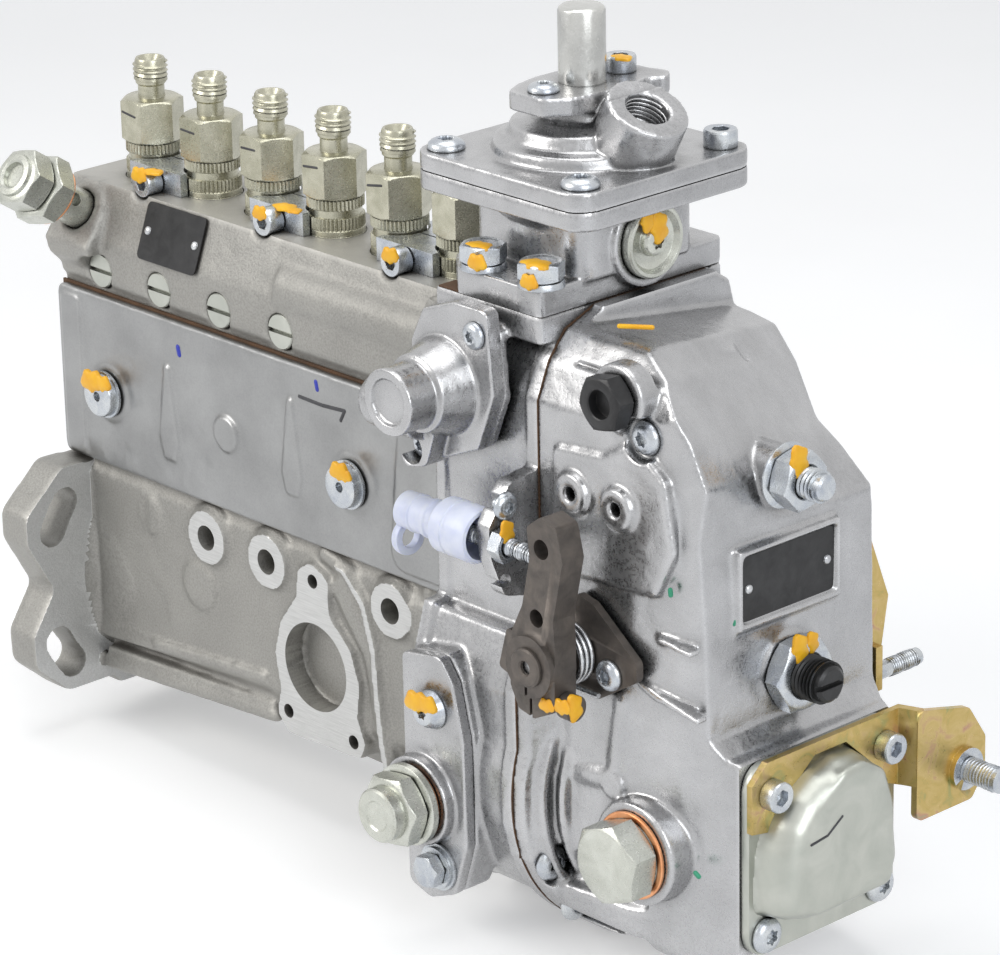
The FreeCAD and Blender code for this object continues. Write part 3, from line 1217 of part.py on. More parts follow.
def flyweight(number, side):
    """A bell crank: heavy block outside, finger to the sleeve's flange inside."""
    def y(low, high):
        return (low, high) if side > 0 else ("-(%s)" % high, "-(%s)" % low)
    heavy = block("228", "242", *y("24", "43"), "-15", "15")
    arms = [block("224.5", "234", *y("14.5", "26"), z0, z1) for z0, z1 in (("-14", "-9.4"), ("9.4", "14"))]
    bores = rod("Z", ("229", "%g" % (18.5 * side), "-20"), "2.55", "40")
    fingers = [block("230.5", "240", *y("11.5", "16.5"), z0, z1) for z0, z1 in (("-14", "-9.4"), ("9.4", "14"))]
    return node("flyweight_%d" % number, cut(fuse(heavy, *(arms + fingers)), bores))


def guide_sleeve():
    """Sleeve that the flyweights' fingers push to the rear."""
    tube = rod("X", ("241", "0", "0"), "9", "22")
    flange = rod("X", ("240.4", "0", "0"), "17", "3.5")
    return node("guide_sleeve", cut(fuse(tube, flange), rod("X", ("230", "0", "0"), "6.05", "34")))


def governor_springs():
    """Main spring between the crank and the tensioning lever, and the idle spring."""
    ring = cut(rod("X", ("286", "0", "0"), "9", "65.1"), rod("X", ("280", "0", "0"), "7.6", "80"))
    idle = cut(rod("X", ("266", "0", "0"), "7", "10"), rod("X", ("260", "0", "0"), "5.6", "30"))
    return node("governor_springs", group(ring, idle))


def tensioning_lever():
    """Upright lever behind the guide sleeve, hung on its pin in the cover's walls."""
    arm = pad("YZ", [("-9", "-12"), ("9", "-12"), ("9", "30"), ("7", "86"), ("-7", "86"), ("-9", "30")], "4",
              ("278", "0", "0"), "2")
    eye = rod("Y", ("280", "-9", "88"), "6", "18")
    pad_face = rod("X", ("276.6", "0", "0"), "8", "2")
    pin = rod("Y", ("280", "-38.5", "88"), "3", "71")
    return node("tensioning_lever", fuse(arm, eye, pad_face, pin))


# Boost compensator

def compensator_body():
    """Base flange, square column with its side boss, and the lower diaphragm plate."""
    base = pad("XY", [("214.5", "-32"), ("225", "-41"), ("262", "-41"), ("262", "-30"), ("262", "38"), ("216", "38")],
               "comp_flange_top - comp_base", ("0", "0", "comp_base"), "2")
    column = block("comp_x - column_half", "comp_x + column_half", "-column_half", "column_half",
                   "comp_flange_top - 1", "column_top")
    column = softened(column, "8", along("Z"))
    boss = rod("X", ("comp_x + 15", "1.5", "172.4"), "15", "12.5")
    plate = square_plate("column_top", "plate_mid - 0.2")
    neck = cone("Z", ("comp_x", "0", "column_top - 6"), "27", "33", "6")
    room = rod("Z", ("comp_x", "0", "column_top - 4"), "28", "20")
    bore = rod("Z", ("comp_x", "0", "comp_base - 2"), "8", "40")
    seat = rod("X", ("comp_x + 20", "1.5", "172.4"), "12", "18")
    drills = corner_holes("column_top - 1", "20", "3.05")
    drills += [rod("Z", (x, "-36", "comp_base - 1"), "3.55", "20") for x in ("231.5", "257.5")]
    return node("compensator_body", cut(fuse(base, column, boss, plate, neck), room, bore, seat, *drills))


def square_plate(low, high):
    plate = block("comp_x - plate_half", "comp_x + plate_half", "-plate_half", "plate_half", low, high)
    return softened(plate, "plate_edge", along("Z"))


def corner_holes(low, long, r):
    return [rod("Z", ("comp_x + %d" % dx, "%d" % dy, low), r, long) for dx, dy in
            ((-30, -30), (30, -30), (-30, 30), (30, 30))]


def compensator_cover():
    """Upper plate, stepped dome, tower, oval plate and the slanting inlet boss."""
    plate = square_plate("plate_mid + 0.2", "plate_top")
    dome = turned("Z", ("comp_x", "0", "0"), [("0", "plate_top - 1"), ("29", "plate_top - 1"), ("28", "plate_top + 4"),
                                              ("24", "plate_top + 5"), ("22.5", "dome_top"), ("14", "dome_top + 2"),
                                              ("13", "oval_top - oval_thick"), ("0", "oval_top - oval_thick")])
    oval = pad("XY", outline("oval"), "oval_thick", ("0", "0", "oval_top - oval_thick"), "3")
    inlet = slanted("16", "13.3", "16")
    room = rod("Z", ("comp_x", "0", "plate_mid - 1"), "26", "10")
    bore = rod("Z", ("comp_x", "0", "plate_mid - 1"), "rod_r + 0.05", "40")
    thread = slanted("10", "7", "30")
    drills = corner_holes("plate_mid - 1", "20", "3.05")
    drills += [rod("Z", ("comp_x", y, "oval_top - 8"), "2.55", "12") for y in ("-16.4", "16.4")]
    return node("compensator_cover", cut(fuse(plate, dome, oval, inlet), room, bore, thread, *drills))


def slanted(below, r, long):
    """A cylinder along the inlet's axis, which rises 62 degrees from +X, from below the rim."""
    item = DOC.addObject("Part::Cylinder", "inlet")
    bind(item, Radius=r, Height=long)
    x = size("comp_x + 28.7") - size(below) * math.cos(math.radians(62))
    z = size("214.8") - size(below) * math.sin(math.radians(62))
    item.Placement = FreeCAD.Placement(V(x, 0, z), FreeCAD.Rotation(V(0, 1, 0), 28))
    return item


def compensator_cap():
    cap = rod("Z", ("comp_x", "0", "oval_top"), "cap_r", "cap_top - oval_top")
    DOC.recompute()
    top = size("cap_top")
    cap = softened(cap, "1.2", lambda e: abs(e.BoundBox.ZMin - top) < 0.01 and e.BoundBox.ZLength < 0.01)
    return node("compensator_cap", cut(cap, rod("Z", ("comp_x", "0", "oval_top - 1"), "4.2", "18")))


def diaphragm():
    """Membrane plates and the push rod that works the compensator's lever."""
    disc = rod("Z", ("comp_x", "0", "plate_mid - 2.6"), "24.5", "2.4")
    cup = rod("Z", ("comp_x", "0", "plate_mid - 5"), "17", "3")
    push = rod("Z", ("comp_x", "0", "150"), "rod_r", "64")
    return node("diaphragm", fuse(disc, cup, push))


# Build, check and write

def build():
    pump_housing()
    drive_bearing_plate()
    camshaft_bearings()
    shaft_seal()
    camshaft()
    for k in range(6):
        tappet(k)
        plunger(k)
        control_sleeve(k)
    control_rack()
    for make in (plunger_springs, barrels, delivery_valves, delivery_valve_holders, holder_clamps,
                 gallery_plugs, overflow_valve, inspection_cover, gaskets, governor_housing,
                 governor_cover, torx_screws, timing_port_plate, bolts, hex_plugs, copper_rings,
                 breather_plug, stop_cylinder, stop_screws, lock_nuts, stop_cap, bush_flange,
                 control_lever, lever_shaft, closing_cover, linkage_brackets, flyweight_carrier,
                 guide_sleeve, governor_springs, tensioning_lever, compensator_body,
                 compensator_cover, compensator_cap, diaphragm):
        make()
    flyweight(1, 1)
    flyweight(2, -1)


def check():
    """Stop before writing if any object failed or any sub-part has no valid solid."""
    faults = []
    for item in DOC.Objects:
        if "Invalid" in item.State or "Error" in item.State:
            faults.append("%s %s is %s" % (item.Name, item.Label, item.State))
    for name, item in NODES.items():
        if item.Shape.isNull() or not item.Shape.isValid() or not item.Shape.Solids:
            faults.append("%s has no valid shape" % name)
    if faults:
        raise RuntimeError("\n".join(faults))


def write():
    os.makedirs("parts", exist_ok=True)
    for name, item in NODES.items():
        item.Shape.exportStep("parts/%s.step" % name)


build()
DOC.recompute()
check()
write()
for name, item in sorted(NODES.items()):
    box = item.Shape.BoundBox
    print("%-24s solids %2d  volume %9.0f  x %7.1f %7.1f  y %6.1f %6.1f  z %6.1f %6.1f"
          % (name, len(item.Shape.Solids), item.Shape.Volume, box.XMin, box.XMax, box.YMin, box.YMax,
             box.ZMin, box.ZMax))
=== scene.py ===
import json
import math

import bmesh
import bpy
import numpy as np
from mathutils import Matrix, Vector


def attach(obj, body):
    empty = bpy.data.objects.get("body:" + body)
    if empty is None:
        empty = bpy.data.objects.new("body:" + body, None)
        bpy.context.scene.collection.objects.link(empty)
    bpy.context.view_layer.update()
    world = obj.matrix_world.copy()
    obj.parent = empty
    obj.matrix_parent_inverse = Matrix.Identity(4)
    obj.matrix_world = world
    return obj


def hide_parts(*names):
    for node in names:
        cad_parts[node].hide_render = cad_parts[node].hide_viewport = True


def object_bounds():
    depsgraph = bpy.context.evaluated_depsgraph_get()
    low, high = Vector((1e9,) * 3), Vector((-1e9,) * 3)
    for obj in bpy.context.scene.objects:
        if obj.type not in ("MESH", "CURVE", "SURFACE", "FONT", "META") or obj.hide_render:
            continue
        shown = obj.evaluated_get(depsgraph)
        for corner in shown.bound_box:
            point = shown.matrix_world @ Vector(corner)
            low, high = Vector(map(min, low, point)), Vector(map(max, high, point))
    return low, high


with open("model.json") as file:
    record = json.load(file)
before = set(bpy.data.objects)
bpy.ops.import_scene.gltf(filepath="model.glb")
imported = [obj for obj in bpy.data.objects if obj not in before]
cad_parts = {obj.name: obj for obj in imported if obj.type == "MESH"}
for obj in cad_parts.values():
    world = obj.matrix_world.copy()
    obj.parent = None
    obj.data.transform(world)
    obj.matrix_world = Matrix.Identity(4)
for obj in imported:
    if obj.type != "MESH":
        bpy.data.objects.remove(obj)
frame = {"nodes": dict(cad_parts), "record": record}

CAD_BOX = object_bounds()
MM = 0.001
MERGE = 0.00001     # metres within which a CAD node's loose corners are one corner
CREASE = 30.0       # degrees from which a small part shows an edge
CAST_CREASE = 42.0  # the same on the soft castings
NODES = frame["nodes"]
BODIES = {node: body for body, nodes in frame["record"]["behaviour"]["bodies"].items() for node in nodes}
SLOTS = {part["node"]: part["material_slot"] for part in frame["record"]["subparts"]}


# Camera and stage

CAMERA = {"azimuth": 47.51, "elevation": 20.47, "roll": -1.20, "focal": 4433.8, "width": 1000.0,
          "place": (1193.85, -912.48, 581.14)}


def aim_camera():
    """A long lens at the photograph's angle, from the measured place."""
    a, e = math.radians(CAMERA["azimuth"]), math.radians(CAMERA["elevation"])
    roll = math.radians(CAMERA["roll"])
    back = Vector((math.sin(a) * math.cos(e), -math.cos(a) * math.cos(e), math.sin(e)))
    level = Vector((math.cos(a), math.sin(a), 0.0))
    upright = back.cross(level)
    right = math.cos(roll) * level + math.sin(roll) * upright
    up = -math.sin(roll) * level + math.cos(roll) * upright
    data = bpy.data.cameras.new("camera")
    data.sensor_width = 36.0
    data.lens = CAMERA["focal"] / CAMERA["width"] * data.sensor_width
    data.clip_end = 20.0
    camera = bpy.data.objects.new("camera", data)
    bpy.context.collection.objects.link(camera)
    turn = Matrix((right, up, back)).transposed().to_4x4()
    camera.matrix_world = Matrix.Translation(Vector(CAMERA["place"]) * MM) @ turn
    bpy.context.scene.camera = camera


# Shader building

def material(name):
    """A fresh material with a Principled shader; returns it with its tree and shader."""
    made = bpy.data.materials.new(name)
    made.use_nodes = True
    tree = made.node_tree
    return made, tree, tree.nodes["Principled BSDF"]


def add(tree, kind, inputs=None, **settings):
    """A new node with some of its inputs and settings."""
    node = tree.nodes.new(kind)
    for key, value in settings.items():
        setattr(node, key, value)
    for key, value in (inputs or {}).items():
        node.inputs[key].default_value = value
    return node


def wired(tree, *wires):
    """Links, each as the node and socket it leaves and the node and socket it enters."""
    for giver, output, taker, entry in wires:
        tree.links.new(giver.outputs[output], taker.inputs[entry])


def feed(tree, entry, value):
    """Link a socket to an input, or set the input to a number or colour."""
    if isinstance(value, bpy.types.NodeSocket):
        tree.links.new(value, entry)
    elif isinstance(value, (tuple, list)):
        entry.default_value = (*value, 1.0)
    else:
        entry.default_value = value


def coordinates(tree, scale=1.0, stretch=(1, 1, 1)):
    """Object coordinates in millimetres times a scale."""
    source = add(tree, "ShaderNodeTexCoord")
    mapping = add(tree, "ShaderNodeMapping", {"Scale": [1000.0 * scale * s for s in stretch]})
    tree.links.new(source.outputs["Object"], mapping.inputs["Vector"])
    return mapping.outputs["Vector"]


def noise(tree, size_mm, detail=3.0, rough=0.55, stretch=(1, 1, 1), distort=0.0):
    """Noise whose grains are about size_mm across."""
    node = add(tree, "ShaderNodeTexNoise", {"Scale": 1.0, "Detail": detail, "Roughness": rough, "Distortion": distort})
    tree.links.new(coordinates(tree, 1.0 / size_mm, stretch), node.inputs["Vector"])
    return node.outputs["Fac"]


def ramp(tree, source, stops):
    """A colour ramp from (place, colour or grey) stops."""
    node = add(tree, "ShaderNodeValToRGB")
    elements = node.color_ramp.elements
    while len(elements) < len(stops):
        elements.new(0.5)
    for element, (place, colour) in zip(elements, stops):
        element.position = place
        rgb = colour if isinstance(colour, (tuple, list)) else (colour, colour, colour)
        element.color = (*rgb, 1.0)
    tree.links.new(source, node.inputs["Fac"])
    return node.outputs["Color"]


def mixed(tree, factor, a, b, blend="MIX"):
    """A colour mix of values or sockets."""
    node = add(tree, "ShaderNodeMix", data_type="RGBA", blend_type=blend)
    for place, value in ((0, factor), (6, a), (7, b)):
        feed(tree, node.inputs[place], value)
    return node.outputs[2]


def maths(tree, operation, a, b=0.0):
    """One step of arithmetic on values or sockets."""
    node = add(tree, "ShaderNodeMath", operation=operation)
    for entry, value in zip(node.inputs, (a, b)):
        feed(tree, entry, value)
    return node.outputs["Value"]


def surface(tree, shader, tone, metal, fine, roughness, deep, rounding=0.0, waves=0.0):
    """Colour and metal, with a roughness and a bump in millimetres that follow the fine noise.

    The bump lies on softly rounded edges or on a slow waviness.
    """
    tree.links.new(tone, shader.inputs["Base Color"])
    shader.inputs["Metallic"].default_value = metal
    tree.links.new(ramp(tree, fine, roughness), shader.inputs["Roughness"])
    bump = add(tree, "ShaderNodeBump", {"Distance": deep * MM})
    tree.links.new(fine, bump.inputs["Height"])
    if rounding:
        soft = add(tree, "ShaderNodeBevel", {"Radius": rounding * MM}, samples=3)
        wired(tree, (soft, "Normal", bump, "Normal"))
    if waves:
        slow = add(tree, "ShaderNodeBump", {"Distance": waves * MM})
        tree.links.new(noise(tree, 11.0, detail=1.0, distort=0.4), slow.inputs["Height"])
        wired(tree, (slow, "Normal", bump, "Normal"))
    wired(tree, (bump, "Normal", shader, "Normal"))


def crevices(tree, distance_mm):
    """A mask for painted shade: white on open faces, dark in corners."""
    return add(tree, "ShaderNodeAmbientOcclusion", {"Distance": distance_mm * MM}, samples=4).outputs["AO"]


def axis_value(tree, axis):
    """One of the object coordinates, in millimetres."""
    split = add(tree, "ShaderNodeSeparateXYZ")
    tree.links.new(coordinates(tree), split.inputs["Vector"])
    return split.outputs[axis]


# Finishes

# the colour of painted shade in the corners of steel parts
PAINTED_SHADE = (0.05, 0.05, 0.045)


def cast_finish(name, colour, dark, grain_mm, grain_deep, metal, rough, spread=0.07, speck=0.16, waves=0.0):
    """Cast aluminium: fine grain, cloudy colour, painted highlights on edges and painted shade in corners."""
    made, tree, shader = material(name)
    clouds = noise(tree, 24.0, detail=4.0)
    grain = noise(tree, grain_mm, detail=2.0, rough=0.7)
    tone = ramp(tree, clouds, [(0.3, [c * (1.0 - spread) for c in colour]),
                               (0.7, [c * (1.0 + spread) for c in colour])])
    speckle = ramp(tree, grain, [(0.35, 1.0 - speck), (0.62, 1.0 + speck * 0.6)])
    tone = mixed(tree, 1.0, tone, speckle, "MULTIPLY")
    # painted highlight: the colour is made lighter along outward edges
    tone = mixed(tree, painted_edge_highlight(tree), tone, [min(1.0, c * 1.45) for c in colour])
    # painted shade: the colour goes to the dark colour in corners and recesses
    corner = ramp(tree, crevices(tree, 5.0), [(0.25, 0.0), (0.85, 1.0)])
    tone = mixed(tree, corner, dark, tone)
    surface(tree, shader, tone, metal, grain, [(0.3, rough - 0.07), (0.7, rough + 0.09)], grain_deep, waves=waves)
    return made


def pump_cast_finish():
    """Sand cast grey, with paler milled faces on the lower wall and the drive flange."""
    # the second colour is the painted shade in the casting's corners
    made = cast_finish("pump_casting", (0.33, 0.322, 0.30), (0.085, 0.078, 0.068), 0.75, 0.16, 0.50, 0.44, waves=0.5)
    tree = made.node_tree
    shader = tree.nodes["Principled BSDF"]
    milled = milled_mask(tree)
    cast_tone = shader.inputs["Base Color"].links[0].from_socket
    lines = noise(tree, 0.5, detail=2.0, stretch=(0.05, 1, 1))
    bright = ramp(tree, lines, [(0.3, (0.52, 0.52, 0.51)), (0.7, (0.64, 0.64, 0.63))])
    tree.links.new(mixed(tree, milled, cast_tone, bright), shader.inputs["Base Color"])
    rough_before = shader.inputs["Roughness"].links[0].from_socket
    tree.links.new(mixed(tree, milled, rough_before, (0.34, 0.34, 0.34)), shader.inputs["Roughness"])
    return made


def milled_mask(tree):
    """One on the machined plane of the lower wall and on the drive flange's own face."""
    side = between(tree, "Y", -29.7, -29.42)
    low = maths(tree, "MULTIPLY", between(tree, "Z", -60.0, 60.0), between(tree, "X", 60.0, 230.0))
    flange = maths(tree, "MULTIPLY", between(tree, "X", 13.9, 14.1), between(tree, "Z", -60.0, 60.0))
    return maths(tree, "MAXIMUM", maths(tree, "MULTIPLY", side, low), flange)


def between(tree, axis, low, high):
    """One where an object coordinate lies between two values in millimetres."""
    value = axis_value(tree, axis)
    return maths(tree, "MULTIPLY", maths(tree, "GREATER_THAN", value, low), maths(tree, "LESS_THAN", value, high))


def painted_edge_highlight(tree):
    """One along outward edges, where a painted highlight lightens the casting."""
    edge = add(tree, "ShaderNodeNewGeometry").outputs["Pointiness"]
    return ramp(tree, edge, [(0.51, 0.0), (0.60, 1.0)])


def metal_finish(name, colour, other, rough, patch_mm=6.0, scratch=0.04, rounding=0.25, metal=0.9):
    """Plated or plain steel: two tones in soft patches, fine scratches, painted shade in the corners."""
    made, tree, shader = material(name)
    tone = ramp(tree, noise(tree, patch_mm, distort=0.6), [(0.32, colour), (0.68, other)])
    # painted shade: the steel darkens towards its corners
    corner = ramp(tree, crevices(tree, 1.2), [(0.2, 0.0), (0.65, 1.0)])
    surface(tree, shader, mixed(tree, corner, PAINTED_SHADE, tone), metal, noise(tree, 0.8, detail=4.0, rough=0.7),
            [(0.25, rough - 0.06), (0.75, rough + 0.12)], scratch, rounding=rounding)
    return made


def gold_finish():
    """Yellow chromate with green and rose islands."""
    made, tree, shader = material("gold_zinc")
    tone = ramp(tree, noise(tree, 9.0, distort=1.2),
                [(0.25, (0.33, 0.33, 0.14)), (0.42, (0.50, 0.37, 0.13)), (0.58, (0.56, 0.42, 0.18)),
                 (0.72, (0.49, 0.29, 0.19)), (0.85, (0.29, 0.37, 0.24))])
    surface(tree, shader, tone, 0.85, noise(tree, 1.2), [(0.3, 0.26), (0.7, 0.40)], 0.03, rounding=0.3)
    return made


def plain_finish(name, colour, other, rough, deep=0.03):
    """Paint, rubber, paper or plastic with a slight mottle."""
    made, tree, shader = material(name)
    tone = ramp(tree, noise(tree, 7.0), [(0.3, colour), (0.7, other)])
    surface(tree, shader, tone, 0.0, noise(tree, 0.8, detail=2.0), [(0.3, rough - 0.06), (0.7, rough + 0.06)], deep,
            rounding=0.3)
    return made


def cap_finish():
    """Milky plastic that lets some light in."""
    made = plain_finish("cap_plastic", (0.66, 0.70, 0.86), (0.78, 0.81, 0.92), 0.34, deep=0.01)
    shader = made.node_tree.nodes["Principled BSDF"]
    shader.inputs["Subsurface Weight"].default_value = 0.5
    shader.inputs["Subsurface Radius"].default_value = (0.003, 0.003, 0.004)
    return made


# Steels, platings and copper: two tones and a roughness, then what differs from the usual
METALS = {
    "machined_steel": ((0.46, 0.46, 0.47), (0.56, 0.56, 0.57), 0.30, {}),
    "bearing_steel": ((0.55, 0.55, 0.56), (0.62, 0.62, 0.63), 0.20, {}),
    "cover_zinc": ((0.41, 0.425, 0.385), (0.50, 0.51, 0.465), 0.34, {"patch_mm": 14.0, "rounding": 0}),
    "olive_zinc": ((0.385, 0.375, 0.29), (0.51, 0.495, 0.40), 0.26, {}),
    "blue_zinc": ((0.42, 0.45, 0.50), (0.58, 0.60, 0.61), 0.26, {}),
    "forged_steel": ((0.085, 0.075, 0.068), (0.14, 0.12, 0.105), 0.42, {"scratch": 0.10, "metal": 0.6}),
    "spring_steel": ((0.44, 0.45, 0.47), (0.60, 0.61, 0.62), 0.26, {}),
    "copper": ((0.72, 0.30, 0.13), (0.84, 0.42, 0.22), 0.30, {}),
    "black_steel": ((0.018, 0.018, 0.019), (0.035, 0.035, 0.036), 0.34, {"metal": 0.4}),
    "plug_zinc": ((0.47, 0.48, 0.43), (0.58, 0.59, 0.54), 0.27, {"patch_mm": 9.0}),
    "cap_steel": ((0.52, 0.52, 0.50), (0.60, 0.60, 0.58), 0.20, {"scratch": 0.02}),
}

# Rubber, paper, ink and paint, in the same way
PLAIN = {
    "seal_rubber": ((0.015, 0.015, 0.016), (0.03, 0.03, 0.03), 0.6, {}),
    "gasket_paper": ((0.075, 0.04, 0.02), (0.13, 0.065, 0.03), 0.7, {}),
    "diaphragm_rubber": ((0.02, 0.02, 0.02), (0.035, 0.035, 0.035), 0.55, {}),
    "marker_black": ((0.02, 0.02, 0.025), (0.05, 0.05, 0.055), 0.45, {}),
    "marker_green": ((0.02, 0.22, 0.12), (0.04, 0.32, 0.18), 0.45, {}),
    "marker_blue": ((0.02, 0.03, 0.35), (0.05, 0.07, 0.5), 0.45, {}),
    "paint_yellow": ((0.86, 0.40, 0.012), (0.95, 0.53, 0.02), 0.40, {"deep": 0.06}),
}


def make_finishes():
    """Every finish, by the name of its slot or of its piece."""
    made = {
        "pump_casting": pump_cast_finish(),
        # the second colour of each casting is the painted shade in its corners
        "governor_casting": cast_finish("governor_casting", (0.43, 0.43, 0.437), (0.10, 0.10, 0.10), 1.3, 0.06, 0.88,
                                        0.28, spread=0.13, speck=0.035, waves=0.55),
        "cover_casting": cast_finish("cover_casting", (0.32, 0.322, 0.322), (0.10, 0.098, 0.09), 0.6, 0.03, 0.85,
                                     0.36, spread=0.12, speck=0.07, waves=0.8),
        "cap_plastic": cap_finish(),
        "gold_zinc": gold_finish(),
    }
    for table, make in ((METALS, metal_finish), (PLAIN, plain_finish)):
        for name, (colour, other, rough, more) in table.items():
            made[name] = make(name, colour, other, rough, **more)
    return made


# Nodes of the frame whose finish differs from their slot's own
NODE_FINISH = {"inspection_cover": "cover_casting"}

# Nodes that a piece of this script stands for
REMADE = {"pump_housing", "governor_housing", "governor_cover", "timing_port_plate", "stop_cylinder",
          "compensator_body", "compensator_cover", "inspection_cover", "closing_cover", "delivery_valve_holders",
          "torx_screws", "bolts", "hex_plugs", "gallery_plugs", "breather_plug", "overflow_valve", "copper_rings",
          "lock_nuts", "stop_screws", "stop_cap", "compensator_cap", "linkage_brackets"}


def smooth_shaded(obj):
    """Merge the loose triangles and shade smooth between faces that meet gently."""
    work = bmesh.new()
    work.from_mesh(obj.data)
    bmesh.ops.remove_doubles(work, verts=work.verts, dist=MERGE)
    bmesh.ops.dissolve_limit(work, angle_limit=math.radians(0.5), verts=work.verts, edges=work.edges)
    work.to_mesh(obj.data)
    work.free()
    shade(obj.data, 32.0)


def painted(obj, *finishes):
    """Give a piece these finishes instead of its own."""
    obj.data.materials.clear()
    for finish in finishes:
        obj.data.materials.append(finish)


def dressed(name, finish):
    """A merged copy of a CAD node, with the node's own properties, that stands for it."""
    copy = NODES[name].copy()
    copy.data = NODES[name].data.copy()
    copy.name = name + "_skin"
    copy.parent = None
    copy.matrix_world = Matrix.Identity(4)
    bpy.context.collection.objects.link(copy)
    smooth_shaded(copy)
    painted(copy, finish)
    finished(copy, name)


def finished(obj, name):
    """Put the piece on the body of the node it stands for."""
    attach(obj, BODIES[name])
    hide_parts(name)


def carried(obj, body="pump"):
    """Put a piece that stands for no node on its body."""
    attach(obj, body)


def placed(name, mesh):
    """A new object with this mesh, in the scene."""
    obj = bpy.data.objects.new(name, mesh)
    bpy.context.collection.objects.link(obj)
    return obj


def meshed(name, work, *finishes):
    """A new object from a bmesh that is done with."""
    mesh = bpy.data.meshes.new(name)
    work.to_mesh(mesh)
    work.free()
    for finish in finishes:
        mesh.materials.append(finish)
    return placed(name, mesh)


def stand_in(name, pieces):
    """Join pieces, mark their creases, and let them stand for a node."""
    obj = joined(name + "_skin", pieces)
    shade(obj.data, CREASE)
    finished(obj, name)


# Round and six-sided parts

def ring_radius(rule, radius, angle):
    """The outline of one ring: a six-lobed star, six flats this far apart inside a circle, or round."""
    if rule == "star":
        return radius * (1.0 + 0.16 * math.cos(6.0 * angle))
    if rule:
        part = math.degrees(angle) % 60.0 - 30.0
        return min(radius, rule / 2.0 / math.cos(math.radians(part)))
    return radius


def spun(name, rings, finish, segments=72):
    """A closed solid from rings of (radius, height, rule), in millimetres about its own Z."""
    work = bmesh.new()
    loops = []
    for ring in rings:
        radius, height = ring[0], ring[1]
        rule = ring[2] if len(ring) > 2 else None
        if radius < 0.001:
            loops.append([work.verts.new((0, 0, height * MM))])
            continue
        loop = []
        for k in range(segments):
            angle = 2.0 * math.pi * k / segments
            r = ring_radius(rule, radius, angle) * MM
            loop.append(work.verts.new((r * math.cos(angle), r * math.sin(angle), height * MM)))
        loops.append(loop)
    obj = closed(name, work, loops, finish)
    shade(obj.data, CREASE)
    return obj


def closed(name, work, loops, *finishes):
    """A solid from rings of corners one after another, with both ends filled."""
    for low, high in zip(loops, loops[1:]):
        bridge(work, low, high)
    for loop, flip in ((loops[0], True), (loops[-1], False)):
        if len(loop) > 1:
            work.faces.new(list(reversed(loop)) if flip else loop)
    bmesh.ops.recalc_face_normals(work, faces=work.faces)
    return meshed(name, work, *finishes)


def bridge(work, low, high):
    """Faces between two rings, either of which may be a single point."""
    if len(low) == 1 and len(high) == 1:
        return
    count = max(len(low), len(high))
    for k in range(count):
        n = (k + 1) % count
        if len(low) == 1:
            work.faces.new((low[0], high[k], high[n]))
        elif len(high) == 1:
            work.faces.new((low[k], low[n], high[0]))
        else:
            work.faces.new((low[k], low[n], high[n], high[k]))


def shade(mesh, degrees):
    """Smooth shading, with edges kept where faces meet at more than this."""
    for face in mesh.polygons:
        face.use_smooth = True
    mesh.set_sharp_from_angle(angle=math.radians(degrees))


def chamfered(flats, low, high):
    """The rings of a nut or bolt head with both ends turned to a cone."""
    face = flats * 0.475
    rim = flats / math.sqrt(3.0) + 0.01 - face
    fall = rim * math.tan(math.radians(28.0))
    shares = [part / 6.0 for part in range(7)]
    return ([(face + rim * share, low + fall * share, flats) for share in shares]
            + [(face + rim * share, high - fall * share, flats) for share in reversed(shares)])


AXES = {"X": (1, 0, 0), "Y": (0, 1, 0), "-Y": (0, -1, 0), "Z": (0, 0, 1)}


def socket(tree, name):
    """The identifier of a modifier input, found by its name."""
    for item in tree.interface.items_tree:
        if item.item_type == "SOCKET" and item.in_out == "INPUT" and item.name == name:
            return item.identifier
    raise KeyError(name)


def new_tree(name, **inputs):
    """A geometry tree with a geometry output, inputs named with their defaults, and a material."""
    tree = bpy.data.node_groups.new(name, "GeometryNodeTree")
    tree.interface.new_socket("Geometry", in_out="INPUT", socket_type="NodeSocketGeometry")
    tree.interface.new_socket("Geometry", in_out="OUTPUT", socket_type="NodeSocketGeometry")
    for label, default in inputs.items():
        kind = {float: "NodeSocketFloat", int: "NodeSocketInt"}.get(type(default), "NodeSocketObject")
        made = tree.interface.new_socket(label, in_out="INPUT", socket_type=kind)
        if default is not None:
            made.default_value = default
    tree.interface.new_socket("Material", in_out="INPUT", socket_type="NodeSocketMaterial")
    return tree, add(tree, "NodeGroupInput"), add(tree, "NodeGroupOutput")


def finish_tree(tree, start, end, last, output):
    """Real geometry with its material at the end of a tree."""
    real = add(tree, "GeometryNodeRealizeInstances")
    paint = add(tree, "GeometryNodeSetMaterial")
    wired(tree, (last, output, real, "Geometry"), (real, "Geometry", paint, "Geometry"),
          (start, "Material", paint, "Material"), (paint, "Geometry", end, "Geometry"))
    return tree


def places_tree():
    """Copies of one part at points that carry a direction and a size."""
    tree, start, end = new_tree("repeated part", Part=None)
    part = add(tree, "GeometryNodeObjectInfo")
    way = add(tree, "GeometryNodeInputNamedAttribute", {"Name": "direction"}, data_type="FLOAT_VECTOR")
    size = add(tree, "GeometryNodeInputNamedAttribute", {"Name": "size"}, data_type="FLOAT")
    turn = add(tree, "FunctionNodeAlignRotationToVector", axis="Z")
    copies = add(tree, "GeometryNodeInstanceOnPoints")
    wired(tree, (start, "Part", part, "Object"), (way, "Attribute", turn, "Vector"),
          (start, "Geometry", copies, "Points"), (part, "Geometry", copies, "Instance"),
          (turn, "Rotation", copies, "Rotation"), (size, "Attribute", copies, "Scale"))
    return finish_tree(tree, start, end, copies, "Instances")


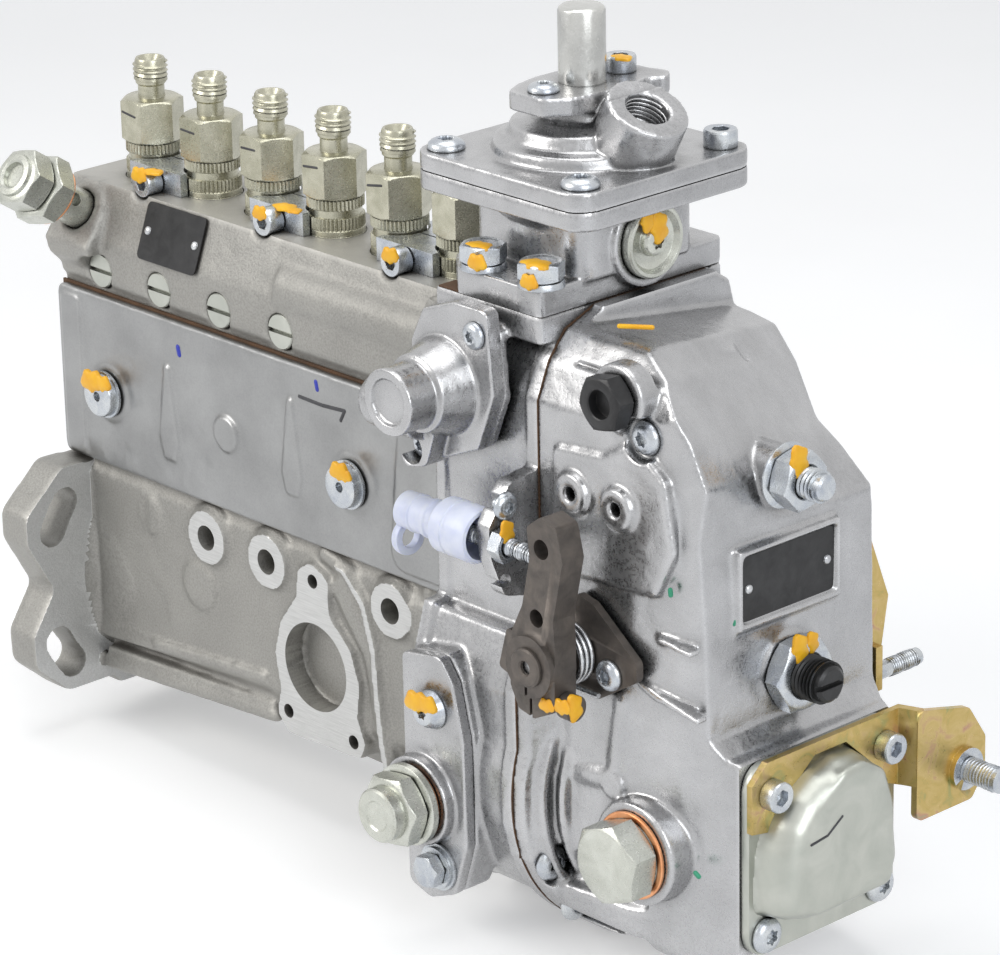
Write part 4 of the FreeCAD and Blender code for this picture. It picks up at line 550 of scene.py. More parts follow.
def thread_tree():
    """A three-sided ridge wound round a shank, with both ends closed."""
    tree, start, end = new_tree("thread", Radius=0.006, Pitch=0.0015, Length=0.008, Depth=0.0008)
    turns = add(tree, "ShaderNodeMath", operation="DIVIDE")
    wind = add(tree, "GeometryNodeCurveSpiral", {"Resolution": 40})
    profile = add(tree, "GeometryNodeCurvePrimitiveCircle", {"Resolution": 3})
    ridge = add(tree, "GeometryNodeCurveToMesh", {"Fill Caps": True})
    wired(tree, (start, "Length", turns, 0), (start, "Pitch", turns, 1), (turns, "Value", wind, "Rotations"),
          (start, "Radius", wind, "Start Radius"), (start, "Radius", wind, "End Radius"),
          (start, "Length", wind, "Height"), (start, "Depth", profile, "Radius"),
          (wind, "Curve", ridge, "Curve"), (profile, "Curve", ridge, "Profile Curve"))
    return finish_tree(tree, start, end, ridge, "Mesh")


def knurl_tree():
    """A drum on which every second edge is drawn in."""
    tree, start, end = new_tree("knurl", Radius=0.0097, Height=0.004, Ridges=48, Depth=0.0006)
    double = add(tree, "ShaderNodeMath", {1: 2.0}, operation="MULTIPLY")
    drum = add(tree, "GeometryNodeMeshCylinder")
    index = add(tree, "GeometryNodeInputIndex")
    parity = add(tree, "ShaderNodeMath", {1: 2.0}, operation="MODULO")
    depth = add(tree, "ShaderNodeMath", operation="MULTIPLY")
    place = add(tree, "GeometryNodeInputPosition")
    inward = add(tree, "ShaderNodeVectorMath", {1: (-1, -1, 0)}, operation="MULTIPLY")
    unit = add(tree, "ShaderNodeVectorMath", operation="NORMALIZE")
    step = add(tree, "ShaderNodeVectorMath", operation="SCALE")
    move = add(tree, "GeometryNodeSetPosition")
    wired(tree, (start, "Ridges", double, 0), (double, "Value", drum, "Vertices"), (start, "Radius", drum, "Radius"),
          (start, "Height", drum, "Depth"), (index, "Index", parity, 0), (parity, "Value", depth, 0),
          (start, "Depth", depth, 1), (place, "Position", inward, 0), (inward, "Vector", unit, 0),
          (unit, "Vector", step, 0), (depth, "Value", step, "Scale"), (drum, "Mesh", move, "Geometry"),
          (step, "Vector", move, "Offset"))
    return finish_tree(tree, start, end, move, "Geometry")


TREES = {}


def grown(kind, name, carrier=None, **inputs):
    """The plain mesh that a tree makes with these inputs."""
    if kind not in TREES:
        TREES[kind] = {"places": places_tree, "thread": thread_tree, "knurl": knurl_tree}[kind]()
    tree = TREES[kind]
    if carrier is None:
        carrier = placed(name + "_seed", bpy.data.meshes.new(name + "_seed"))
    changed = carrier.modifiers.new("grow", "NODES")
    changed.node_group = tree
    for label, value in inputs.items():
        changed[socket(tree, label)] = value
    carrier.update_tag()
    bpy.context.view_layer.update()
    applied(carrier)
    mesh = carrier.data
    bpy.data.objects.remove(carrier)
    return placed(name, mesh)


def facing(direction):
    """A direction from its name or its vector."""
    return Vector(AXES[direction] if isinstance(direction, str) else direction)


def moved_to(obj, place, direction="Z", spin=0.0):
    """Bake a place in millimetres and a direction into the mesh."""
    turn = facing(direction).to_track_quat("Z", "Y").to_matrix().to_4x4()
    obj.data.transform(Matrix.Translation(Vector(place) * MM) @ turn @ Matrix.Rotation(math.radians(spin), 4, "Z"))
    return obj


def joined(name, pieces):
    """Several pieces made one object, with all their materials."""
    work = bmesh.new()
    finishes = []
    for piece in pieces:
        first = len(finishes)
        finishes += list(piece.data.materials)
        start = len(work.faces)
        work.from_mesh(piece.data)
        work.faces.ensure_lookup_table()
        for face in work.faces[start:]:
            face.material_index += first
    for piece in pieces:
        bpy.data.objects.remove(piece)
    return meshed(name, work, *finishes)


def repeated(name, part, finish, spots):
    """Copies of a part at (place, direction, size) spots, in millimetres."""
    mesh = bpy.data.meshes.new(name + "_points")
    mesh.from_pydata([Vector(spot[0]) * MM for spot in spots], [], [])
    mesh.attributes.new("direction", "FLOAT_VECTOR", "POINT")
    mesh.attributes.new("size", "FLOAT", "POINT")
    for k, spot in enumerate(spots):
        mesh.attributes["direction"].data[k].vector = facing(spot[1])
        mesh.attributes["size"].data[k].value = spot[2] if len(spot) > 2 else 1.0
    made = grown("places", name, placed(name + "_points", mesh), Part=part, Material=finish)
    bpy.data.objects.remove(part)
    return made


# Parts made in detail

ELEMENTS = [24.0 + 32.0 * k for k in range(6)]
TILT = math.radians(34.0)
OVERFLOW = (0.0, -math.cos(TILT), math.sin(TILT))
OVERFLOW_SEAT = (14, -26, 135)


def delivery_holders(finishes):
    """One holder with knurls, hexagon, thread and sealing cone, repeated along the pump."""
    olive = finishes["olive_zinc"]
    hexagon = chamfered(19.0, 157.0, 172.2)
    rings = [(0.0, 134.2), (9.9, 134.2), (9.9, 144.5), (9.75, 144.6), (9.75, 146.4), (9.2, 146.8), (9.2, 150.6),
             (8.8, 150.8), (8.8, 153.4), (9.2, 153.7), (9.2, 156.8)] + hexagon
    rings += [(4.7, 172.3), (4.6, 172.8), (4.6, 176.6), (5.3, 177.3), (5.3, 185.2), (4.9, 186.0), (4.1, 186.0),
              (1.3, 182.0), (1.2, 176.0), (0.0, 176.0)]
    body = spun("holder_body", rings, olive)
    lower = moved_to(grown("knurl", "lower_knurl", Radius=0.00975, Height=0.0040, Ridges=44, Depth=0.0007,
                           Material=olive), (0, 0, 148.7))
    upper = moved_to(grown("knurl", "upper_knurl", Radius=0.0097, Height=0.0033, Ridges=44, Depth=0.0007,
                           Material=olive), (0, 0, 155.2))
    thread = moved_to(grown("thread", "pipe_thread", Radius=0.0054, Pitch=0.0015, Length=0.0066, Depth=0.0007,
                            Material=olive), (0, 0, 178.0))
    master = joined("holder", [body, lower, upper, thread])
    obj = repeated("delivery_valve_holders_skin", master, olive, [((x, 0, 0), "Z") for x in ELEMENTS])
    shade(obj.data, CREASE)
    finished(obj, "delivery_valve_holders")


def dome_head(finish):
    """A low dome with a six-lobed recess; its seat is at zero."""
    r = 6.2
    rings = [(0.0, -4.0), (r * 0.48, -4.0), (r * 0.48, 0.0), (r * 0.97, 0.0), (r, 0.35), (r, 1.1), (r * 0.93, 2.0),
             (r * 0.80, 2.75), (r * 0.62, 3.25), (r * 0.46, 3.4), (r * 0.40, 3.35, "star"),
             (r * 0.38, 3.0, "star"), (r * 0.37, 1.6, "star"), (0.0, 1.3)]
    return spun("dome_head", rings, finish, 48)


def socket_head(finish, r, tall):
    """A cap head with a hexagon socket."""
    key = r * 0.95
    deep = tall * 0.55
    rings = [(0.0, -4.0), (r * 0.55, -4.0), (r * 0.55, 0.0), (r * 0.97, 0.0), (r, 0.3), (r, tall - 0.6),
             (r * 0.93, tall), (key / 1.7, tall), (key / 1.75, tall - 0.1, key),
             (key / 1.75, tall - deep, key), (0.0, tall - deep - 0.6)]
    return spun("socket_head", rings, finish, 72)


def cross_head_screws(finishes):
    """All the small screws of the governor, the compensator, the clamps and the rear cover."""
    zinc = finishes["blue_zinc"]
    domes = [((307.5, -40.5, 129), "-Y", 0.87), ((261.9, -57.4, 99.8), "X", 0.74),
             ((297.5, -47.5, 51.3), "-Y", 0.81), ((243, -50.65, 148.5), "-Y", 0.71),
             ((218.8, -50.65, 107.3), "-Y", 0.71)]
    rim = ((-46, -22, 0.97), (-36, -40, 0.89), (20, -50, 0.89), (46, -20, 0.89), (46, 32, 0.89))
    domes += [((267.3, y, z), "X", size) for y, z, size in rim]
    domes += [((239 + dx, dy, 196.8), "Z", 0.97) for dx, dy in ((-30, -30), (30, -30), (-30, 30))]
    domes.append(((239, -16.4, 218.0), "Z", 0.81))
    domes += [((341.8, y, -28.8), "X", 0.94) for y in (-25.5, 25.5)]
    pieces = [repeated("domes", dome_head(zinc), zinc, domes)]
    clamps = [((40.5 + 64 * k, -13.4, 148), "-Y", 1.0) for k in range(3)]
    pieces.append(repeated("clamp_heads", socket_head(zinc, 4.8, 6.0), zinc, clamps))
    caps = [((269, 30, 196.8), "Z", 1.08), ((239, 16.4, 218.0), "Z", 1.0)]
    caps += [((344.0, y, 19.4), "X", 1.0) for y in (-25.5, 25.5)]
    pieces.append(repeated("cap_heads", socket_head(zinc, 5.0, 5.2), zinc, caps))
    stand_in("torx_screws", pieces)


def main_bolts(finishes):
    """Cover bolts with wide heads, the timing port's bolts and the compensator's base bolts."""
    zinc = finishes["blue_zinc"]
    cover_rings = [(0.0, -14.0), (2.9, -14.0), (2.9, -0.1), (8.4, 0.0), (8.4, 1.0), (7.5, 1.1), (7.5, 3.3), (7.2, 3.9),
                   (6.6, 4.2), (2.0, 4.2), (1.75, 4.1, 3.4), (1.75, 1.5, 3.4),
                   (0.0, 1.3)]
    pieces = [repeated("cover_bolts", spun("cover_bolt", cover_rings, zinc, 64), zinc,
                       [((x, -30.1, 72), "-Y") for x in (28.7, 157.0)])]
    base_rings = [(0.0, -8.0), (3.4, -8.0), (3.4, 0.0), (7.4, 0.0), (7.4, 0.5), (6.9, 1.9)] + chamfered(13.0, 2.0, 8.0)
    base_rings += [(5.0, 8.0), (4.6, 7.7), (0.0, 7.6)]
    pieces.append(repeated("base_bolts", spun("base_bolt", base_rings, zinc), zinc,
                           [((x, -36, 164.5), "Z") for x in (231.5, 257.5)]))
    port_rings = [(0.0, -10.0), (2.9, -10.0), (2.9, 0.0), (8.0, 0.0), (8.0, 1.0), (7.0, 1.1), (7.0, 2.4)]
    port_rings += chamfered(10.0, 2.5, 7.0) + [(0.0, 7.0)]
    pieces.append(moved_to(spun("port_bolt", port_rings, zinc), (231, -60.1, -31), "-Y", 12.0))
    cone_rings = [(0.0, -10.0), (2.9, -10.0), (2.9, 0.0), (6.4, 0.0), (6.5, 0.6), (5.2, 3.4), (4.2, 4.7), (3.4, 5.0),
                  (1.9, 5.0, "star"), (1.8, 3.0, "star"), (0.0, 2.8)]
    pieces.append(moved_to(spun("cone_bolt", cone_rings, zinc, 48), (229.6, -60.1, 23.2), "-Y"))
    stand_in("bolts", pieces)


def plugs(finishes):
    """The timing plug, the rear plug, the dished plug, the slotted plugs and the black plug."""
    olive = finishes["plug_zinc"]
    timing = [(0.0, -7.0), (9.0, -7.0), (9.0, 0.0), (13.3, 0.0), (13.5, 0.3), (13.5, 2.4), (12.6, 2.9)]
    timing += chamfered(22.0, 2.9, 10.0)
    timing += [(9.0, 10.1), (9.0, 14.2), (8.4, 14.9), (5.2, 14.9), (4.6, 14.4), (0.0, 14.0)]
    pieces = [moved_to(spun("timing_plug", timing, olive), (224.6, -66, -8.9), "-Y", 8.0)]
    rear = [(0.0, -8.0), (9.0, -8.0), (9.0, 0.0), (12.2, 0.05)] + chamfered(24.0, 0.1, 10.9) + [(0.0, 10.9)]
    pieces.append(moved_to(spun("rear_plug", rear, olive), (308, -50.5, -5), "-Y", 20.0))
    dish = [(0.0, -1.1), (11.9, -1.1), (11.9, 3.6), (11.3, 4.4), (10.3, 4.3), (9.0, 2.6), (7.2, 1.9), (5.0, 1.8),
            (4.8, 2.0), (4.8, 3.6), (4.2, 4.6), (3.0, 5.1), (2.1, 5.1, "star"), (2.0, 3.4, "star"), (0.0, 3.2)]
    pieces.append(moved_to(spun("dish_plug", dish, olive), (265.2, 1.5, 172.4), "X"))
    stand_in("hex_plugs", pieces)
    slotted(finishes)
    black = [(0.0, -6.0), (6.0, -6.0), (6.0, 0.0), (7.7, 0.05)] + chamfered(16.0, 0.1, 6.9)
    black += [(4.9, 6.9), (4.5, 6.6), (4.5, 3.4), (0.0, 3.0)]
    obj = moved_to(spun("breather_plug_skin", black, finishes["black_steel"]), (299.5, -46.2, 140.5), "-Y", 10.0)
    finished(obj, "breather_plug")


def slotted(finishes):
    """Screwdriver plugs: a disc cut across, one shape repeated four times."""
    zinc = finishes["cover_zinc"]
    disc = spun("plug_disc", [(0.0, -12.0), (6.15, -12.0), (6.15, -0.4), (5.8, 0.0), (0.0, 0.0)], zinc, 64)
    carve(disc, box_mesh("slot_knife", (-8, -0.75, -1.9), (8, 0.75, 2.0), zinc))
    obj = repeated("gallery_plugs_skin", disc, zinc, [((x, -26.2, 115), "-Y") for x in ELEMENTS[:4]])
    shade(obj.data, CREASE)
    finished(obj, "gallery_plugs")


def box_mesh(name, low, high, finish):
    """A block between two corners, in millimetres."""
    work = bmesh.new()
    bmesh.ops.create_cube(work, size=1.0)
    for vert in work.verts:
        for axis in range(3):
            vert.co[axis] = (low[axis] if vert.co[axis] < 0 else high[axis]) * MM
    return meshed(name, work, finish)


def carve(obj, tool):
    """Cut a tool out of a piece, then drop the tool."""
    cut = obj.modifiers.new("carve", "BOOLEAN")
    cut.operation = "DIFFERENCE"
    cut.object = tool
    cut.solver = "EXACT"
    applied(obj)
    bpy.data.objects.remove(tool)


def overflow_part(finishes):
    """Banjo valve: shank with its cross hole, two hexagons and the pressed end."""
    rings = [(0.0, -8.0), (6.8, -8.0), (6.8, 13.9), (10.0, 14.0)] + chamfered(22.0, 14.1, 22.4)
    rings += [(8.6, 22.6)] + chamfered(19.0, 22.8, 31.8)
    rings += [(7.6, 32.0), (7.4, 33.3), (5.4, 33.5), (4.6, 33.0), (4.4, 31.2), (0.0, 31.0)]
    obj = spun("overflow_valve_skin", rings, finishes["plug_zinc"])
    hole = spun("cross_hole", [(0.0, -12.0), (2.3, -12.0), (2.3, 12.0), (0.0, 12.0)], finishes["black_steel"], 32)
    carve(obj, moved_to(hole, (0, 0, 8.6), "X"))
    shade(obj.data, CREASE)
    moved_to(obj, OVERFLOW_SEAT, OVERFLOW, 15.0)
    finished(obj, "overflow_valve")


def rings_of_copper(finishes):
    """Sealing rings under the overflow valve, the timing plug and the rear plug."""
    under_valve = (14, -26 - 13 * math.cos(TILT), 135 + 13 * math.sin(TILT))
    pieces = []
    for inner, outer, thick, place, way in ((6.95, 10.6, 1.0, under_valve, OVERFLOW),
                                            (9.05, 12.2, 1.4, (224.6, -64.6, -8.9), "-Y"),
                                            (9.05, 14.2, 1.4, (308, -49.1, -5), "-Y")):
        rings = [(inner, 0.0), (outer - 0.3, 0.0), (outer, 0.3), (outer, thick - 0.3), (outer - 0.3, thick),
                 (inner, thick)]
        pieces.append(moved_to(tube("copper_ring", rings, finishes["copper"]), place, way))
    finished(joined("copper_rings_skin", pieces), "copper_rings")


def tube(name, rings, finish, segments=72):
    """A ring that closes on itself: the last ring joins the first."""
    obj = spun(name, rings + [rings[0]], finish, segments)
    work = bmesh.new()
    work.from_mesh(obj.data)
    caps = [face for face in work.faces if len(face.verts) == segments]
    bmesh.ops.delete(work, geom=caps, context="FACES_ONLY")
    bmesh.ops.remove_doubles(work, verts=work.verts, dist=0.000001)
    bmesh.ops.recalc_face_normals(work, faces=work.faces)
    work.to_mesh(obj.data)
    work.free()
    shade(obj.data, CREASE)
    return obj


def nuts_and_stops(finishes):
    """Lock nuts, the stop screw, the rear stud and the slotted black stop."""
    zinc, black = finishes["blue_zinc"], finishes["black_steel"]
    nuts = []
    for flats, bore, low, high, place, turn, base in ((10.0, 3.05, 0.0, 5.0, (261.9, -59.8, 88.3), 5.0, None),
                                                      (17.0, 5.1, 1.4, 9.0, (327.6, -2, 112), 12.0, 10.5),
                                                      (22.0, 7.1, 0.0, 7.0, (329.6, -1.5, 48.7), 0.0, None)):
        rings = [(bore, 0.0), (base, 0.0), (base, 0.5), (base - 1.6, 1.4)] if base else [(bore, low)]
        rings += chamfered(flats, low, high) + [(bore + 0.6, high), (bore, high - 0.6)]
        nuts.append(moved_to(tube("nut", rings, zinc), place, "X", turn))
    finished(joined("lock_nuts_skin", nuts), "lock_nuts")
    pieces = []
    for r, pitch, length, place, finish in ((3.0, 1.0, 41.3, (238.5, -59.8, 88.3), zinc),
                                            (5.0, 1.5, 39.0, (306.0, -2.0, 112.0), zinc),
                                            (7.0, 1.5, 43.0, (304.0, -1.5, 48.7), black)):
        rings = [(0.0, 0.0), (r * 0.84, 0.0), (r * 0.84, length - 0.8), (r * 0.7, length), (0.0, length)]
        shank = spun("shank", rings, finish, 48)
        ridge = grown("thread", "ridge", Radius=(r - 0.45) * MM, Pitch=pitch * MM, Length=(length - 3.0) * MM,
                      Depth=pitch * 0.42 * MM, Material=finish)
        moved_to(ridge, (0, 0, 1.0))
        pieces.append(moved_to(joined("stop", [shank, ridge]), place, "X"))
    carve(pieces[-1], box_mesh("slot_knife", (345.2, -10, 47.8), (350, 7, 49.6), black))
    stand_in("stop_screws", pieces)


def brackets(finishes):
    """Gold linkage plates with silver threaded studs."""
    gold, zinc = finishes["gold_zinc"], finishes["blue_zinc"]
    plates = solid_of("linkage_brackets")
    smooth_shaded(plates)
    painted(plates, gold, zinc)
    for face in plates.data.polygons:
        x, y, z = face.center / MM
        rear = x > 347.0 and math.hypot(y - 56.0, z - 4.0) < 4.3
        side = y > 45.5 and math.hypot(x - 324.0, z - 32.5) < 3.4
        face.material_index = 1 if rear or side else 0
    rear = grown("thread", "rear_ridge", Radius=0.0038, Pitch=0.00125, Length=0.0135, Depth=0.0005, Material=zinc)
    side = grown("thread", "side_ridge", Radius=0.0027, Pitch=0.001, Length=0.0125, Depth=0.0004, Material=zinc)
    moved_to(rear, (350.5, 56, 4), "X")
    moved_to(side, (324, 48.5, 32.5), "Y")
    finished(joined("linkage_brackets_skin", [plates, rear, side]), "linkage_brackets")


def cap_of_plastic(finishes):
    """The sealing cap: narrow neck, ribbed collar and the loop of its strap."""
    milky = finishes["cap_plastic"]
    neck = [(0.0, 0.0), (5.2, 0.0), (6.0, 0.8), (6.0, 6.0), (6.3, 6.3), (6.3, 7.3), (6.0, 7.6), (6.0, 12.6),
            (6.4, 13.0), (6.4, 14.4), (6.0, 15.0), (6.1, 18.0)]
    collar = [(8.0, 19.0), (9.0, 20.2), (9.0, 25.0), (8.7, 25.3), (8.7, 26.4), (9.0, 26.7), (9.0, 34.4), (8.4, 35.6)]
    inside = [(7.4, 36.0), (7.2, 35.0), (7.2, 23.0), (3.4, 22.0), (3.4, 3.0), (0.0, 2.6)]
    body = moved_to(spun("cap_body", neck + collar + inside, milky), (219.0, -59.8, 88.3), "X")
    section = [(3.6, 0.0), (5.9, 0.0), (6.1, 0.8), (6.1, 1.8), (5.9, 2.6), (3.6, 2.6), (3.3, 1.3)]
    loop = moved_to(tube("cap_loop", section, milky, 48), (218.6, -59.8, 79.2), "X")
    finished(joined("stop_cap_skin", [body, loop]), "stop_cap")


def compensator_top(finishes):
    """The bright cap on the compensator, and the thread in its inlet."""
    rings = [(0.0, 218.0), (7.5, 218.0), (7.5, 240.4), (7.2, 241.3), (6.4, 241.9), (5.6, 242.0), (0.0, 242.0)]
    obj = moved_to(spun("compensator_cap_skin", rings, finishes["cap_steel"]), (239.0, 0, 0))
    finished(obj, "compensator_cap")
    tilt = math.radians(62.0)
    way = Vector((math.cos(tilt), 0.0, math.sin(tilt)))
    ridge = grown("thread", "inlet_thread", Radius=0.0070, Pitch=0.0015, Length=0.0075, Depth=0.0006,
                  Material=finishes["governor_casting"])
    moved_to(ridge, Vector((267.7, 0, 214.8)) - way * 9.5, way)
    carried(ridge)


def plate_mesh(name, size, corner, thick, finish):
    """A thin plate with round corners, lying on its own XY plane."""
    work = bmesh.new()
    outline = []
    for cx, cy, start in ((1, 1, 0), (-1, 1, 90), (-1, -1, 180), (1, -1, 270)):
        for step in range(7):
            angle = math.radians(start + 15 * step)
            outline.append((cx * (size[0] / 2 - corner) + corner * math.cos(angle),
                            cy * (size[1] / 2 - corner) + corner * math.sin(angle)))
    low, high = [[work.verts.new((x * MM, y * MM, z * MM)) for x, y in outline] for z in (0, thick)]
    work.faces.new(list(reversed(low)))
    work.faces.new(high)
    bridge(work, low, high)
    return meshed(name, work, finish)


def blank_plates(finishes):
    """Two bare black plates with their rivets: on the front slope and in the rear frame."""
    black, zinc = finishes["black_steel"], finishes["spring_steel"]
    for name, size, centre, right, normal in (
            ("side_plate", (31.0, 20.0), (62.6, -24.25, 134.6), Vector((1, 0, 0)), Vector((0, -0.94, 0.345))),
            ("rear_plate", (40.5, 21.5), (328.05, -1.8, 80.0), Vector((0, 1, 0)), Vector((1, 0, 0)))):
        up = normal.cross(right)
        turn = Matrix((right, up, normal)).transposed().to_4x4()
        pieces = [plate_mesh(name + "_sheet", size, 2.0, 0.5, black)]
        for side in (-1, 1):
            rivet = spun("rivet", [(0.0, 0.4), (1.5, 0.4), (1.4, 0.9), (0.9, 1.3), (0.0, 1.45)], zinc, 24)
            pieces.append(moved_to(rivet, (side * (size[0] / 2 - 3.0), 0, 0)))
        obj = joined(name, pieces)
        obj.data.transform(Matrix.Translation(Vector(centre) * MM) @ turn)
        carried(obj)


# Castings: the frame's own solids with soft cast edges, added swellings and machined faces kept flat

def solid_of(name):
    """A merged, closed copy of a CAD node."""
    work = bmesh.new()
    work.from_mesh(NODES[name].data)
    bmesh.ops.remove_doubles(work, verts=work.verts, dist=MERGE)
    return meshed(name + "_solid", work, *NODES[name].data.materials)


def applied(obj):
    """Turn an object's modifiers into its mesh."""
    graph = bpy.context.evaluated_depsgraph_get()
    mesh = bpy.data.meshes.new_from_object(obj.evaluated_get(graph))
    obj.modifiers.clear()
    obj.data = mesh
    return obj


def rail(start, end, radius):
    """A bar with round ends between two points, for cast ribs and pen strokes."""
    way = Vector(end) - Vector(start)
    rings = [(0.0, -radius)]
    for step in range(1, 6):
        angle = math.radians(-90 + 18 * step)
        rings.append((radius * math.cos(angle), radius * math.sin(angle)))
    for step in range(6):
        angle = math.radians(18 * step)
        rings.append((radius * math.cos(angle) if step < 5 else 0.0, way.length + radius * math.sin(angle)))
    return moved_to(spun("rail", rings, None, 24), start, way)


def hull(points):
    """A filler with flat sides round these points, in millimetres."""
    work = bmesh.new()
    for point in points:
        work.verts.new(Vector(point) * MM)
    bmesh.ops.convex_hull(work, input=work.verts)
    bmesh.ops.recalc_face_normals(work, faces=work.faces)
    return meshed("filler", work)


def path_rail(points, radius):
    """Round bars one after another along a path."""
    return [rail(a, b, radius) for a, b in zip(points, points[1:])]


PULL = 0.5  # how far each round draws a point to the middle of its neighbours


def relaxed(places, edges, rounds, holds):
    """Even out a mesh's points towards their neighbours, with the held ones put back each round."""
    ends = np.concatenate((edges[:, 0], edges[:, 1]))
    others = np.concatenate((edges[:, 1], edges[:, 0]))
    count = np.maximum(np.bincount(ends, minlength=len(places)), 1)
    for _ in range(rounds):
        middle = np.stack([np.bincount(ends, weights=places[others, axis], minlength=len(places)) / count
                           for axis in range(3)], axis=1)
        places = places + PULL * (middle - places)
        for hold in holds:
            hold(places)
    return places


def flat_hold(places, axis, value, box, reach):
    """Keep the points that lie near a machined plane on that plane."""
    near = np.abs(places[:, axis] - value) < reach
    for other, span in box.items():
        near &= (places[:, other] > span[0]) & (places[:, other] < span[1])
    chosen = np.nonzero(near)[0]

    def hold(now):
        now[chosen, axis] = value
    return hold


def bore_hold(places, axis, centre, radius, span, reach):
    """Keep the points that lie near a drilled or turned wall at its radius."""
    u, v = [k for k in range(3) if k != axis]
    away = np.hypot(places[:, u] - centre[0], places[:, v] - centre[1])
    near = (np.abs(away - radius) < reach) & (places[:, axis] > span[0]) & (places[:, axis] < span[1])
    chosen = np.nonzero(near)[0]

    def hold(now):
        du, dv = now[chosen, u] - centre[0], now[chosen, v] - centre[1]
        share = radius / np.maximum(np.hypot(du, dv), 0.01)
        now[chosen, u] = centre[0] + du * share
        now[chosen, v] = centre[1] + dv * share
    return hold


BASE_Z = 155.6  # where the compensator's base meets the governor


def soft_casting(name, finish, voxel, rounds, planes=(), bores=(), extras=(), reshape=None, triangles=120000):
    """Remesh a node with its added shapes, relax it, keep machined places true, and thin the mesh.

    A plane is (axis, value, box of other axes), a bore (axis, centre, radius, span along the axis).
    """
    obj = joined(name + "_skin", [solid_of(name)] + list(extras))
    remesh = obj.modifiers.new("remesh", "REMESH")
    remesh.mode = "VOXEL"
    remesh.voxel_size = voxel * MM
    applied(obj)
    mesh = obj.data
    places = np.empty(len(mesh.vertices) * 3)
    mesh.vertices.foreach_get("co", places)
    places = places.reshape(-1, 3) / MM
    edges = np.empty(len(mesh.edges) * 2, dtype=np.int64)
    mesh.edges.foreach_get("vertices", edges)
    if reshape:
        reshape(places)
    plane_reach, bore_reach = voxel * 0.75, voxel * 0.8
    holds = [flat_hold(places, *plane, plane_reach) for plane in planes]
    holds += [bore_hold(places, *bore, bore_reach) for bore in bores]
    places = relaxed(places, edges.reshape(-1, 2), rounds, holds)
    mesh.vertices.foreach_set("co", (places * MM).reshape(-1))
    mesh.update()
    count = len(mesh.polygons) * 2
    if count > triangles:
        thin = obj.modifiers.new("thin", "DECIMATE")
        thin.ratio = triangles / count
        applied(obj)
    shade(obj.data, CAST_CREASE)
    painted(obj, finish)
    finished(obj, name)


def no_hub_swelling(places):
    """The wall beside the drive flange is flat, and the flange's near foot is short."""
    flat_y, foot_z = -27.4, -40.6
    wall = (places[:, 0] > 14.5) & (places[:, 0] < 46.0) & (places[:, 1] < flat_y) & (places[:, 2] < 43.0)
    places[wall, 1] = flat_y
    foot = (places[:, 0] < 14.6) & (places[:, 1] < -20.0) & (places[:, 2] < foot_z)
    places[foot, 2] = foot_z


def pump_casting(finishes):
    """The long housing with its rails, pillows and machined side."""
    side_y, deck_z, flange_x, rear_x = -29.5, 144.5, 14.0, 212.7
    boss_x = (80.0, 112.0, 175.0)
    side_wall = (-30, -12)
    extras = [rail((17, -25.7, -21), (108, -25.7, -14), 2.6), rail((17, -25.6, -33), (110, -25.6, -26), 2.8)]
    for x in boss_x:
        extras.append(moved_to(tube("pillow", [(5.6, 0.0), (12.6, 0.0), (11.6, 12.4), (5.6, 12.4)], None),
                               (x, -15, 32), "-Y"))
    extras.append(moved_to(spun("pillow", [(0.0, 0.0), (11.4, 0.0), (10.4, 12.0), (0.0, 12.0)], None),
                           (73, -15, 12), "-Y"))
    extras += path_rail([(140, -25.6, 42), (152, -25.8, 39), (161, -26.0, 30), (165.5, -26.0, 15), (167, -26.0, -5),
                         (168.5, -26.0, -18), (171, -26.0, -29)], 3.2)
    extras += path_rail([(190, -24.0, 42), (191.5, -24.0, 20), (193, -24.0, -8)], 3.2)
    bores = [(1, (x, 32.0), 4.5, side_wall) for x in boss_x] + [(1, (136.0, 0.5), 15.75, side_wall)]
    bores += [(1, place, 2.5, side_wall) for place in ((136.0, 31.6), (121.0, -20.0), (154.5, -21.3))]
    planes = [(1, side_y, {0: (60, 205), 2: (-6, 60)}), (1, side_y, {0: (111.5, 205), 2: (-60, -6)}),
              (2, deck_z, {}), (0, flange_x, {2: (-60, 60)}), (0, 0.0, {}), (0, rear_x, {})]
    soft_casting("pump_housing", finishes["pump_casting"], 0.85, 9, planes, bores, extras, no_hub_swelling, 190000)


